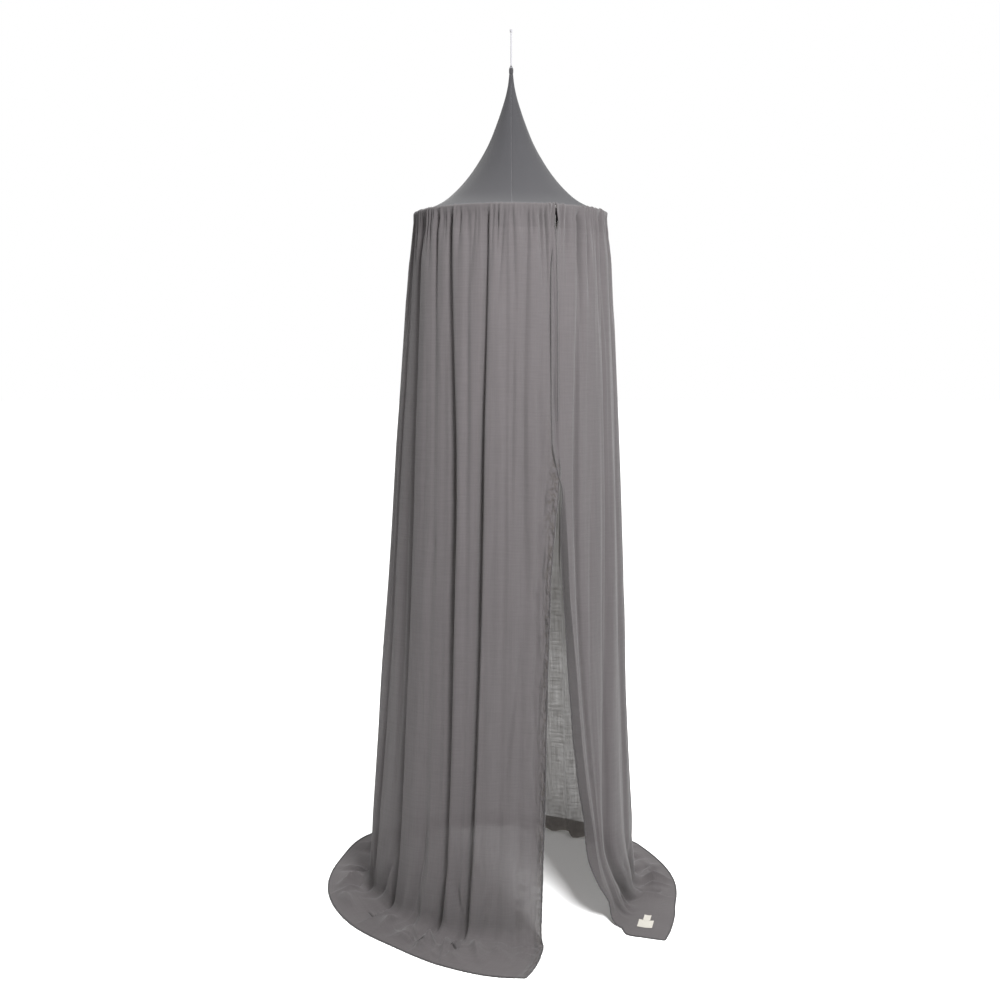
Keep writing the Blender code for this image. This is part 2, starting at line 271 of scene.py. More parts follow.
@dataclass(frozen=True)
class Muslin:
    """Thin plain-woven cotton with slubs, slightly sheer, with light glowing through it.

    Facing_width is the strip along the gathered edge where the cloth lies in two layers, less open and
    darkened with painted shade for the light that the two layers hold back. Edge_width is the strip
    beside the left front edge that is crinkled, with painted shade along its puckers' creases.
    Open_share and open_slub are how open the weave is at least, and how much more in its thin spots.
    """

    name: str
    colour: Colour
    glow_colour: Colour
    thread_pitch: float = 1.3 * MM
    glow: float = 0.24
    open_share: float = 0.035
    open_slub: float = 0.09
    crease_depth: float = 0.9 * MM
    facing_width: float = 0.062
    edge_width: float = 0.055
    # The painted shade in the creases of the puckers beside the left front edge.
    crease_shade_colour: Colour = (0.040, 0.034, 0.028)
    pucker_depth: float = 22 * MM
    weave_depth: float = 0.25 * MM

    def material(self) -> bpy.types.Material:
        """The cloth's material.

        Returns:
            The material, joined up.
        """
        graph = Graph(self.name)
        warp = graph.noise((820.0, 13.0, 1.0), 1.0)
        weft = graph.noise((15.0, 760.0, 1.0), 1.0)
        blotch = graph.noise((9.0, 6.0, 1.0), 3.0)
        across, along = graph.axes()
        weave = across.wave(self.thread_pitch) * along.wave(self.thread_pitch)
        shade = warp * 0.34 + weft * 0.34 + blotch * 0.22 + weave * 0.10
        long_crease, short_crease = graph.noise((70.0, 16.0, 1.0), 3.0), graph.noise((210.0, 150.0, 1.0))
        crease = long_crease * 0.6 + short_crease * 0.4
        fine = graph.bump(warp * 0.35 + weft * 0.35 + weave * 0.3, self.weave_depth)
        creased = graph.bump(crease, self.crease_depth, under=fine)
        # The crinkled strip has an uneven border and starts 0.44 to 0.64 m below the seam.
        uneven = graph.noise((14.0, 11.0, 1.0)) * 1.6 - 0.8
        opened = (along * 5.0 - 2.2).clamped()
        beside_edge = (1.0 - across * (1.0 / self.edge_width) + uneven).clamped() * opened
        # The facing strip, two layers thick: less open below, and darkened with painted shade.
        facing_and_shade = ((self.facing_width - along) * 400.0).clamped()
        pucker = graph.noise((40.0, 34.0, 1.0))
        # Painted shade: thin dark lines along the puckers' creases, blended into the base colour.
        line = (1.0 - graph.sum("ABSOLUTE", pucker - 0.5) * 16.0).clamped()
        normal = graph.bump(pucker * beside_edge, self.pucker_depth, under=creased)
        # Painted shade: the facing strip is darkened for the light that its two layers hold back.
        shade = shade - facing_and_shade * 0.22
        plain = graph.blend(shade, tint(self.colour, 0.72), tint(self.colour, 1.28))
        cloth = graph.node(
            "ShaderNodeBsdfPrincipled",
            {},
            {
                "Base Color": graph.blend(line * beside_edge, plain, self.crease_shade_colour),
                "Roughness": 0.92,
                "Specular IOR Level": 0.15,
                "Sheen Weight": 0.12,
                "Sheen Roughness": 0.6,
                "Normal": normal,
            },
        )
        glow = graph.node(
            "ShaderNodeBsdfTranslucent", {}, {"Color": (*self.glow_colour, 1.0), "Normal": normal}
        )
        solid = graph.node(
            "ShaderNodeMixShader", {}, {0: self.glow, 1: cloth.outputs[0], 2: glow.outputs[0]}
        )
        clear = graph.node("ShaderNodeBsdfTransparent")
        slubs = graph.noise((300.0, 10.0, 1.0)) * 0.5 + graph.noise((12.0, 260.0, 1.0)) * 0.5
        thin = ((slubs - 0.5) * 4.4 + 0.45).clamped()
        gaps = (self.open_share + self.open_slub * thin) * (1.0 - facing_and_shade * 0.7)
        sheer = graph.node(
            "ShaderNodeMixShader", {}, {0: gaps, 1: solid.outputs[0], 2: clear.outputs[0]}
        )
        return graph.finish(sheer)


@dataclass(frozen=True)
class Jersey:
    """Fine ribbed knit, stretched smooth."""

    name: str
    colour: Colour
    wale: float = 1.1 * MM
    depth: float = 0.12 * MM

    def material(self) -> bpy.types.Material:
        """The knit's material.

        Returns:
            The material, joined up.
        """
        graph = Graph(self.name)
        across, along = graph.axes()
        rib = across.wave(self.wale)
        loop = along.wave(self.wale * 0.8)
        pull = graph.noise((26.0, 8.0, 1.0), 3.0)
        yarn = graph.noise((420.0, 60.0, 1.0))
        shade = rib * 0.16 + loop * 0.10 + pull * 0.34 + yarn * 0.40
        relief = graph.bump(rib * 0.5 + loop * 0.2 + yarn * 0.3, self.depth)
        knit = graph.node(
            "ShaderNodeBsdfPrincipled",
            {},
            {
                "Base Color": graph.blend(shade, tint(self.colour, 0.84), tint(self.colour, 1.16)),
                "Roughness": 0.85,
                "Specular IOR Level": 0.2,
                "Sheen Weight": 0.08,
                "Sheen Roughness": 0.5,
                "Normal": relief,
            },
        )
        return graph.finish(knit)


@dataclass(frozen=True)
class Yarn:
    """Spun thread, twisted or braided, with a fine streak along its fibres."""

    name: str
    colour: Colour
    spread: float = 0.25
    streaks: float = 900.0

    def material(self) -> bpy.types.Material:
        """The yarn's material.

        Returns:
            The material, joined up.
        """
        graph = Graph(self.name)
        fibre = graph.noise((self.streaks, self.streaks * 0.2, 1.0), 3.0)
        relief = graph.bump(fibre, 0.15 * MM)
        low, high = tint(self.colour, 1.0 - self.spread), tint(self.colour, 1.0 + self.spread)
        yarn = graph.node(
            "ShaderNodeBsdfPrincipled",
            {},
            {
                "Base Color": graph.blend(fibre, low, high),
                "Roughness": 0.85,
                "Specular IOR Level": 0.2,
                "Sheen Weight": 0.2,
                "Normal": relief,
            },
        )
        return graph.finish(yarn)


@dataclass(frozen=True)
class Tape:
    """Blank woven label tape: a fine satin weave with a slightly soiled, uneven tone."""

    name: str
    colour: Colour

    def material(self) -> bpy.types.Material:
        """The tape's material.

        Returns:
            The material, joined up.
        """
        graph = Graph(self.name)
        across, along = graph.axes()
        rib = along.wave(0.55 * MM)
        thread = across.wave(0.4 * MM)
        blotch = graph.noise((120.0, 90.0, 1.0), 3.0)
        shade = rib * 0.25 + thread * 0.15 + blotch * 0.6
        tape = graph.node(
            "ShaderNodeBsdfPrincipled",
            {},
            {
                "Base Color": graph.blend(shade, tint(self.colour, 0.86), tint(self.colour, 1.10)),
                "Roughness": 0.62,
                "Specular IOR Level": 0.35,
                "Sheen Weight": 0.1,
                "Normal": graph.bump(rib * 0.7 + thread * 0.3, 0.1 * MM),
            },
        )
        return graph.finish(tape)


@dataclass(frozen=True)
class DrawnPlastic:
    """Matt extruded tube, with faint lines along it and rubbed spots."""

    name: str
    colour: Colour

    def material(self) -> bpy.types.Material:
        """The tube's material.

        Returns:
            The material, joined up.
        """
        graph = Graph(self.name)
        lines = graph.noise((700.0, 4.0, 1.0))
        rubbed = graph.noise((60.0, 25.0, 1.0), 4.0)
        tube = graph.node(
            "ShaderNodeBsdfPrincipled",
            {},
            {
                "Base Color": graph.blend(rubbed, tint(self.colour, 0.88), tint(self.colour, 1.12)),
                "Roughness": 0.34 + 0.25 * rubbed,
                "Normal": graph.bump(lines, 0.06 * MM),
            },
        )
        return graph.finish(tube)


# ---------------------------------------------------------------------------------------------
# Shapes


def curve_through(
    at: Union[float, np.ndarray], places: Sequence[float], values: Sequence[float]
) -> np.ndarray:
    """Values at these places of a smooth curve through a table, which never overshoots its rows.

    Args:
        at: Where the curve is read.
        places: The table's places, growing.
        values: The table's values there.

    Returns:
        The curve's values, as many as at has.
    """
    places = np.asarray(places, float)
    values = np.asarray(values, float)
    at = np.clip(np.asarray(at, float), places[0], places[-1])
    steps = np.diff(places)
    slopes = np.diff(values) / steps
    before, after = slopes[:-1], slopes[1:]
    rising = before * after > 0
    total = np.where(rising, before + after, 1.0)
    inner = np.where(rising, 2 * before * after / total, 0.0)
    tangents = np.concatenate(([slopes[0]], inner, [slopes[-1]]))
    i = np.clip(np.searchsorted(places, at, side="right") - 1, 0, len(steps) - 1)
    u = (at - places[i]) / steps[i]
    start = values[i] * (1 + 2 * u) * (1 - u) ** 2 + tangents[i] * steps[i] * u * (1 - u) ** 2
    end = values[i + 1] * u * u * (3 - 2 * u) - tangents[i + 1] * steps[i] * u * u * (1 - u)
    return start + end


def smooth_step(x: np.ndarray, low: float, high: float) -> np.ndarray:
    """0 below low, 1 above high, and smooth between."""
    t = np.clip((x - low) / (high - low), 0.0, 1.0)
    return t * t * (3 - 2 * t)


def trough(s: np.ndarray, steep: float = 2.6) -> np.ndarray:
    """A trough's share of its depth, s half widths from its middle."""
    return 1.0 / (1.0 + np.abs(s / 0.8) ** steep)


def at_turn(turn: np.ndarray, radius: np.ndarray, above_floor: np.ndarray) -> np.ndarray:
    """Points at these turns about the vertical axis, at heights above the floor.

    Args:
        turn: Degrees from the front, round by the left.
        radius: Metres from the axis.
        above_floor: Metres above the floor.

    Returns:
        The points.
    """
    angle = np.radians(turn)
    parts = np.broadcast_arrays(-radius * np.sin(angle), -radius * np.cos(angle), FLOOR + above_floor)
    return np.stack(parts, axis=-1)


def ease(way: float, low: float, high: float) -> float:
    """One number's smooth step: 0 below low, 1 above high."""
    return float(smooth_step(np.array(way), low, high))


def limited(depth: np.ndarray, most: float) -> np.ndarray:
    """Depths that come near to the most that there may be, and don't pass it."""
    return most * np.tanh(depth / most)


class Ripple(NamedTuple):
    """Unevenness of one size: its height, and the width and length of its blotches in metres.

    Across and down shift it within the noise that it is read from.
    """

    high_mm: float
    wide: float
    long: float
    across: float
    down: float


class SoftNoise:
    """Smooth seeded noise over a plane, from -1 to 1."""

    def __init__(self, seed: int, size: int = 97) -> None:
        """Fills the lattice that the noise is read from."""
        self.size = size
        self.lattice = np.random.default_rng(seed).uniform(-1.0, 1.0, (size, size))

    def at(self, x: np.ndarray, y: np.ndarray) -> np.ndarray:
        """The noise at these places, whose blotches are about one unit wide.

        Args:
            x: Places one way.
            y: Places the other way.

        Returns:
            The noise there, -1 to 1.
        """
        x, y = np.broadcast_arrays(np.asarray(x, float), np.asarray(y, float))
        i, j = np.floor(x).astype(int), np.floor(y).astype(int)
        u, v = x - i, y - j
        u, v = u * u * (3 - 2 * u), v * v * (3 - 2 * v)
        i0, j0 = i % self.size, j % self.size
        i1, j1 = (i + 1) % self.size, (j + 1) % self.size
        top = self.lattice[i0, j0] * (1 - u) + self.lattice[i1, j0] * u
        low = self.lattice[i0, j1] * (1 - u) + self.lattice[i1, j1] * u
        return top * (1 - v) + low * v

    def ripple(self, kind: Ripple, across: np.ndarray, down: float) -> np.ndarray:
        """The heights of a ripple, in metres, at these places on the cut."""
        return kind.high_mm * MM * self.at(across / kind.wide + kind.across, down / kind.long + kind.down)


def grid_faces(rows: int, columns: int, ring: bool = False) -> np.ndarray:
    """Quads over a grid of points.

    Args:
        rows: How many rows the grid has.
        columns: How many points each row has.
        ring: True if each row's last point joins its first.

    Returns:
        Four point numbers for each quad.
    """
    r, c = np.meshgrid(np.arange(rows - 1), np.arange(columns if ring else columns - 1), indexing="ij")
    after = (c + 1) % columns
    near, far = r * columns, (r + 1) * columns
    return np.stack([near + c, near + after, far + after, far + c], -1).reshape(-1, 4)


def new_piece(
    name: str,
    points: np.ndarray,
    faces: Sequence[Sequence[int]],
    flat: Optional[np.ndarray] = None,
) -> bpy.types.Object:
    """A smooth-shaded mesh object.

    Args:
        name: The piece's name.
        points: Its points, in metres.
        faces: Its faces, as point numbers.
        flat: Each point's place on its cut, in metres, which the materials read.

    Returns:
        The object, linked to the scene.
    """
    points = points.reshape(-1, 3)
    mesh = bpy.data.meshes.new(name)
    mesh.from_pydata(points.tolist(), [], faces.tolist() if isinstance(faces, np.ndarray) else faces)
    if flat is not None:
        placed = np.zeros((len(points), 3))
        placed[:, :2] = flat.reshape(-1, 2)
        attribute = mesh.attributes.new(FLAT, "FLOAT_VECTOR", "POINT")
        attribute.data.foreach_set("vector", placed.astype(np.float32).ravel())
    mesh.shade_smooth()
    piece = bpy.data.objects.new(name, mesh)
    bpy.context.scene.collection.objects.link(piece)
    return piece


def lengths_along(path: np.ndarray) -> np.ndarray:
    """How far along a path each of its points lies."""
    steps = np.linalg.norm(np.diff(path, axis=0), axis=1)
    return np.concatenate(([0.0], np.cumsum(steps)))


def resampled(path: np.ndarray, step: float) -> np.ndarray:
    """Points about a step apart along a path.

    Args:
        path: The path's points.
        step: How far apart the new points are to be, in metres.

    Returns:
        The new points, with both ends kept.
    """
    along = lengths_along(path)
    count = max(int(round(along[-1] / step)), 2) + 1
    places = np.linspace(0.0, along[-1], count)
    return np.stack([np.interp(places, along, path[:, k]) for k in range(3)], axis=1)


def frames_along(path: np.ndarray, ring: bool = False) -> tuple[np.ndarray, np.ndarray, np.ndarray]:
    """Directions along a path: forward, and two across it that don't twist.

    Args:
        path: The path's points.
        ring: True if its last point joins its first.

    Returns:
        Forward, side and up at each point.
    """
    if ring:
        forward = np.roll(path, -1, axis=0) - np.roll(path, 1, axis=0)
    else:
        forward = np.gradient(path, axis=0)
    forward /= np.linalg.norm(forward, axis=1)[:, None]
    side = np.empty_like(path)
    start = np.array((0.0, 0.0, 1.0)) if abs(forward[0, 2]) < 0.9 else np.array((1.0, 0.0, 0.0))
    now = np.cross(start, forward[0])
    for i, ahead in enumerate(forward):
        now = now - ahead * np.dot(now, ahead)
        now = now / np.linalg.norm(now)
        side[i] = now
    return forward, side, np.cross(forward, side)


def tube(
    name: str,
    path: np.ndarray,
    radius: Union[float, np.ndarray],
    sides: int = 8,
    ring: bool = False,
) -> bpy.types.Object:
    """A tube along a path, closed by caps or into a ring.

    Args:
        name: The piece's name.
        path: The points that it follows.
        radius: Its radius, for the whole tube, each point, or each point and side.
        sides: How many sides it has.
        ring: True if it closes into a ring.

    Returns:
        The tube's object.
    """
    _, side, up = frames_along(path, ring)
    around = np.arange(sides) * math.tau / sides
    sizes = np.asarray(radius, float)
    sizes = np.broadcast_to(sizes[:, None] if sizes.ndim == 1 else sizes, (len(path), sides))
    offsets = side[:, None] * np.cos(around)[None, :, None] + up[:, None] * np.sin(around)[None, :, None]
    points = path[:, None] + offsets * sizes[..., None]
    faces = grid_faces(len(path), sides, ring=True).tolist()
    last = (len(path) - 1) * sides
    if ring:
        faces += [(last + i, last + (i + 1) % sides, (i + 1) % sides, i) for i in range(sides)]
    else:
        faces += [tuple(reversed(range(sides))), tuple(range(last, last + sides))]
    flat = np.empty((len(path), sides, 2))
    flat[..., 0] = around * float(np.mean(sizes))
    flat[..., 1] = lengths_along(path)[:, None]
    return new_piece(name, points, faces, flat)


UNIT_SPACING = 4 * MM  # between copies of a stitch on their cut, so that no two look alike


class Unit(NamedTuple):
    """A small closed shape that is repeated, such as one stitch."""

    points: np.ndarray
    faces: np.ndarray


def thread_unit(line: np.ndarray, radius: float, sides: int, ring: bool) -> Unit:
    """One stitch: a thin thread along a line, in local metres.

    Args:
        line: The thread's points: forward, side and up.
        radius: Its radius.
        sides: How many sides it has.
        ring: True for a closed loop.

    Returns:
        The stitch's points and faces.
    """
    _, side, up = frames_along(line, ring)
    around = np.arange(sides) * math.tau / sides
    offsets = side[:, None] * np.cos(around)[None, :, None] + up[:, None] * np.sin(around)[None, :, None]
    sizes = np.full(len(line), radius)
    if not ring:
        sizes[0] = sizes[-1] = radius * 0.35
    points = (line[:, None] + offsets * sizes[:, None, None]).reshape(-1, 3)
    faces = grid_faces(len(line), sides, ring=True)
    last = (len(line) - 1) * sides
    if ring:
        joined = [(last + i, last + (i + 1) % sides, (i + 1) % sides, i) for i in range(sides)]
        return Unit(points, np.concatenate([faces, joined]))
    return Unit(points, faces)


def repeated(
    name: str, unit: Unit, places: np.ndarray, axes: tuple[np.ndarray, np.ndarray, np.ndarray]
) -> bpy.types.Object:
    """Many copies of a unit in one mesh.

    Args:
        name: The piece's name.
        unit: What is repeated.
        places: Where each copy lies.
        axes: Each copy's forward, side and up.

    Returns:
        The object.
    """
    forward, side, up = axes
    local = unit.points[None, :, :, None]
    points = (
        places[:, None]
        + forward[:, None] * local[:, :, 0]
        + side[:, None] * local[:, :, 1]
        + up[:, None] * local[:, :, 2]
    )
    count = len(unit.points)
    offsets = (np.arange(len(places)) * count)[:, None, None]
    faces = (unit.faces[None] + offsets).reshape(-1, 4)
    flat = np.broadcast_to(unit.points[None, :, :2], (len(places), count, 2)).copy()
    flat[..., 1] += np.arange(len(places))[:, None] * UNIT_SPACING
    return new_piece(name, points, faces, flat)


def settle(
    piece: bpy.types.Object, slot: Slot, made: bpy.types.Material, *nodes: str
) -> bpy.types.Object:
    """Dresses a piece, lets it ride on the canopy and hides the solids that it stands for.

    Args:
        piece: The piece.
        slot: The record's slot of its finish; not used.
        made: Its material.
        nodes: The solids that it replaces.

    Returns:
        The piece.
    """
    piece.data.materials.append(made)
    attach(piece, ROOT)
    if nodes:
        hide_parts(*nodes)
    report.info("%s: %d faces", piece.name, len(piece.data.polygons))
    return piece


# ---------------------------------------------------------------------------------------------
# Camera and cord


@dataclass
class PhotoCamera:
    """The camera, at the photograph's place and angle."""

    place: tuple[float, float, float] = (-0.0279, -3.10, -0.790)
    below_level_deg: float = 7.204
    lens_mm: float = 43.069
    sensor_mm: float = 36.0

    def build(self) -> bpy.types.Object:
        """Makes the camera and gives the scene to it.

        Returns:
            The camera.
        """
        data = bpy.data.cameras.new("photo_camera")
        data.lens = self.lens_mm
        data.sensor_width = self.sensor_mm
        camera = bpy.data.objects.new("photo_camera", data)
        camera.location = self.place
        camera.rotation_euler = (math.radians(90.0 - self.below_level_deg), 0.0, 0.0)
        bpy.context.scene.collection.objects.link(camera)
        bpy.context.scene.camera = camera
        return camera


@dataclass
class HangingCord:
    """The braided cord from the crown's tip up to its knot, held straight by the canopy's weight."""

    exit_above_floor: float = 2.1511
    end_above_floor: float = 2.2295
    diameter: float = 0.004
    strands: int = 8
    lay_turns: float = 5.0
    relief: float = 0.22 * MM
    sides: int = 32
    rings: int = 150
    knot_size: float = 1.12 * MM
    knot_half_height: float = 2.6 * MM
    knot_below_top: float = 5.0 * MM
    knot_radius: float = 1.55 * MM
    finish: Yarn = Yarn("braided_yarn", (0.205, 0.203, 0.215), 0.22, 1400.0)

    def build(self) -> tuple[bpy.types.Object, bpy.types.Object]:
        """Returns:
            The cord and the knot.
        """
        made = self.finish.material()
        heights = np.linspace(self.exit_above_floor, self.end_above_floor, self.rings)
        path = np.stack([np.zeros(self.rings), np.zeros(self.rings), FLOOR + heights], axis=1)
        around = np.arange(self.sides) * math.tau / self.sides
        along = np.linspace(0.0, 1.0, self.rings)[:, None] * math.tau * self.lay_turns
        one_way = np.cos(self.strands / 2 * (around[None] + along))
        other_way = np.cos(self.strands / 2 * (around[None] - along))
        braid = np.maximum(one_way, other_way)
        radius = self.diameter / 2 - self.relief * (1.0 - np.clip(braid, 0.0, 1.0) ** 0.7)
        cord = tube("braided_cord", path, radius, self.sides)
        knot = self.knot()
        settle(cord, Slot.CORD, made, "hanging_cord")
        settle(knot, Slot.CORD, made, "cord_knot")
        return cord, knot

    def knot(self) -> bpy.types.Object:
        """The overhand knot that stops the cord at the hook: one strand round itself three times.

        Returns:
            The knot.
        """
        t = np.linspace(0.0, math.tau, 120, endpoint=False)
        x = self.knot_size * (np.sin(t) + 1.35 * np.sin(2 * t))
        y = self.knot_size * (np.cos(t) - 1.35 * np.cos(2 * t))
        z = -self.knot_half_height * np.sin(3 * t) - self.knot_below_top
        return tube("cord_top_knot", np.stack([x, y, z], axis=1), self.knot_radius, 14, ring=True)


# ---------------------------------------------------------------------------------------------
# Crown


class CrownRing(NamedTuple):
    """One ring of the crown's profile, in metres."""

    above_hoop: float
    radius: float


CROWN_PROFILE = (
    CrownRing(0.3475, 0.0046),
    CrownRing(0.3230, 0.0075),
    CrownRing(0.2970, 0.0128),
    CrownRing(0.2550, 0.0256),
    CrownRing(0.2165, 0.0396),
    CrownRing(0.1775, 0.0560),
    CrownRing(0.1385, 0.0775),
    CrownRing(0.0990, 0.1042),
    CrownRing(0.0600, 0.1385),
    CrownRing(0.0330, 0.1705),
    CrownRing(0.0150, 0.2050),
    CrownRing(0.0072, 0.2275),
    CrownRing(0.0055, 0.2375),
)


class CapRing(NamedTuple):
    """One ring of the tip cap's profile, in millimetres, with its height above the cap's foot."""

    above_foot: float
    radius: float


CAP_PROFILE = (
    CapRing(0.0, 4.7),
    CapRing(2.0, 5.2),
    CapRing(6.0, 5.5),
    CapRing(10.0, 5.6),
    CapRing(12.5, 5.0),
    CapRing(14.5, 3.9),
    CapRing(16.5, 3.1),
    CapRing(19.0, 2.4),
)


@dataclass
class Crown:
    """The stretched cone: two knitted half gores, seamed in front and behind, and a bound tip."""

    rings: int = 84
    columns: int = 96
    seam_width: float = 2.6 * MM
    seam_depth: float = 1.1 * MM
    seam_gap: float = 0.25 * MM
    stitch_pitch: float = 3.2 * MM
    stitch_radius: float = 0.28 * MM
    pucker_depth: float = 0.5 * MM
    puckers_round: float = 75.0
    stretch_depth: float = 0.35 * MM
    cut_mean_radius: float = 0.12
    cut_length: float = 0.43
    seed: int = 11
    tip_above_floor: float = 2.1318
    cap_rings: int = 40
    cap_columns: int = 48
    cap_pleats: float = 5.0
    winding_turns: int = 7
    winding_start: float = 13.2 * MM
    winding_pitch: float = 0.46 * MM
    winding_radius: float = 4.55 * MM
    winding_taper: float = 0.19 * MM
    finish: Jersey = Jersey("smooth_jersey", (0.0238, 0.0234, 0.0256))
    thread: Yarn = Yarn("crown_thread", (0.120, 0.119, 0.128), 0.2, 1600.0)

    def profile(self, place: np.ndarray) -> tuple[np.ndarray, np.ndarray]:
        """Radius and height above the hoop, at places 0 to 1 down the cone's slope.

        Args:
            place: How far down the slope, 0 to 1.

        Returns:
            The radius and the height above the hoop there, in metres.
        """
        table = np.array(CROWN_PROFILE)
        slope = np.concatenate(([0.0], np.cumsum(np.hypot(*np.diff(table, axis=0).T))))
        slope /= slope[-1]
        return curve_through(place, slope, table[:, 1]), curve_through(place, slope, table[:, 0])

    def build(self) -> list[bpy.types.Object]:
        """Makes both halves, the bound tip and its winding.

        Returns:
            All the pieces of the crown.
        """
        jersey = self.finish.material()
        thread = self.thread.material()
        halves = [self.half("crown_shell_left", 0.0), self.half("crown_shell_right", 180.0)]
        for half, node in zip(halves, ("crown_left", "crown_right")):
            settle(half, Slot.CROWN, jersey, node)
        pieces = [self.tip_cap(), self.tip_winding(), self.seam_stitches()]
        settle(pieces[0], Slot.CROWN, jersey, "tip_binding")
        settle(pieces[1], Slot.CROWN, thread)
        settle(pieces[2], Slot.CROWN, thread)
        cut = self.half_cut()
        return halves + pieces

    def half_cut(self) -> tuple[float, float, float]:
        """Width, length and area of one half gore as it was cut.

        Returns:
            The width and the length in metres, and the area in square metres.
        """
        radius, height = self.profile(np.linspace(0.0, 1.0, 200))
        slope = np.hypot(np.diff(radius), np.diff(height))
        area = float(np.sum(math.pi * (radius[1:] + radius[:-1]) / 2 * slope))
        return math.pi * HOOP_RADIUS, float(slope.sum()), area

    def half(self, name: str, first_turn: float) -> bpy.types.Object:
        """One half gore, drawn in along its two seams and slightly puckered above the hoop.

        Args:
            name: The piece's name.
            first_turn: The turn of its first seam, in degrees.

        Returns:
            The piece.
        """
        place = np.linspace(0.0, 1.0, self.rings)[:, None]
        share = np.linspace(0.0, 1.0, self.columns)
        share = 0.5 - 0.5 * np.cos(math.pi * share) * (1 - 0.12 * np.sin(math.pi * share) ** 2)
        turn = first_turn + 180.0 * share[None]
        radius, height = self.profile(place)
        arc = radius * math.pi
        from_seam = np.minimum(share, 1.0 - share)[None] * arc
        groove = self.seam_depth * np.exp(-((from_seam / self.seam_width) ** 2))
        groove = groove * np.minimum(1.0, radius / 0.02)
        stretch = SoftNoise(self.seed).at(turn / 9.0, place * 2.2) * self.stretch_depth
        waves = np.sin(np.radians(turn) * self.puckers_round)
        pucker = self.pucker_depth * waves * smooth_step(place, 0.955, 0.995)
        out = stretch * smooth_step(place, 0.1, 0.4) * smooth_step(1.0 - place, 0.02, 0.08)
        squeeze = 1.0 - (self.seam_gap / 2) / np.maximum(arc, 1 * MM)
        turn = first_turn + 90.0 + (turn - first_turn - 90.0) * squeeze
        points = at_turn(turn, radius - groove + out, HOOP_HEIGHT + height + pucker * 0.4)
        flat = np.empty((self.rings, self.columns, 2))
        flat[..., 0] = share[None] * math.pi * self.cut_mean_radius
        flat[..., 1] = place * self.cut_length
        return new_piece(name, points, grid_faces(self.rings, self.columns), flat)

    def seam_stitches(self) -> bpy.types.Object:
        """Small stitches that show in the grooves of the front and back seams.

        Returns:
            The stitches, as one piece.
        """
        place = np.linspace(0.06, 0.985, 400)
        radius, height = self.profile(place)
        paths = []
        for turn in (0.0, 180.0):
            turns = np.full_like(radius, turn)
            line = at_turn(turns, radius - self.seam_depth * 0.55, HOOP_HEIGHT + height)
            paths.append(resampled(line, self.stitch_pitch))
        places = np.concatenate(paths)
        axes = [np.concatenate(parts) for parts in zip(*(frames_along(path) for path in paths))]
        line = np.array(((-1.0, 0.0, 0.1), (-0.4, 0.0, 0.35), (0.4, 0.0, 0.35), (1.0, 0.0, 0.1))) * MM
        outward = places * np.array((1.0, 1.0, 0.0))
        outward /= np.linalg.norm(outward, axis=1)[:, None]
        up = outward - axes[0] * np.sum(outward * axes[0], axis=1)[:, None]
        up /= np.linalg.norm(up, axis=1)[:, None]
        unit = thread_unit(line, self.stitch_radius, 5, ring=False)
        return repeated("crown_seam_stitch", unit, places, (axes[0], np.cross(up, axes[0]), up))

    def tip_cap(self) -> bpy.types.Object:
        """The gathered end of the crown, pleated and bound round the cord.

        Returns:
            The piece.
        """
        table = np.array(CAP_PROFILE)
        rings, columns = self.cap_rings, self.cap_columns
        heights = np.linspace(0.0, table[-1, 0], rings)
        radius = curve_through(heights, table[:, 0], table[:, 1])[:, None] * MM
        around = np.arange(columns) * math.tau / columns
        pleat = np.abs(np.sin(around * self.cap_pleats + 0.5 * np.sin(heights / 6.0)[:, None]))
        radius = radius * (1.0 - 0.10 * pleat * smooth_step(heights, 3.0, 12.0)[:, None])
        top_down = slice(None, None, -1)
        points = at_turn(np.degrees(around)[None], radius, self.tip_above_floor + heights[:, None] * MM)
        points = points[top_down]
        flat = np.empty((*radius.shape, 2))
        flat[..., 0] = around[None] * 0.005
        flat[..., 1] = heights[top_down][:, None] * MM
        faces = grid_faces(rings, columns, ring=True).tolist()
        faces += [tuple(reversed(range(columns))), tuple(range((rings - 1) * columns, rings * columns))]
        return new_piece("tip_cap", points, faces, flat)

    def tip_winding(self) -> bpy.types.Object:
        """Thread wound round the cap's neck, each turn above the last.

        Returns:
            The piece.
        """
        wound = np.linspace(0.0, self.winding_turns, self.winding_turns * 28)
        height = self.tip_above_floor + self.winding_start + self.winding_pitch * wound
        path = at_turn(wound * 360.0, self.winding_radius - self.winding_taper * wound, height)
        return tube("tip_winding", path, self.stitch_radius, 6)


# ---------------------------------------------------------------------------------------------
# Hoop


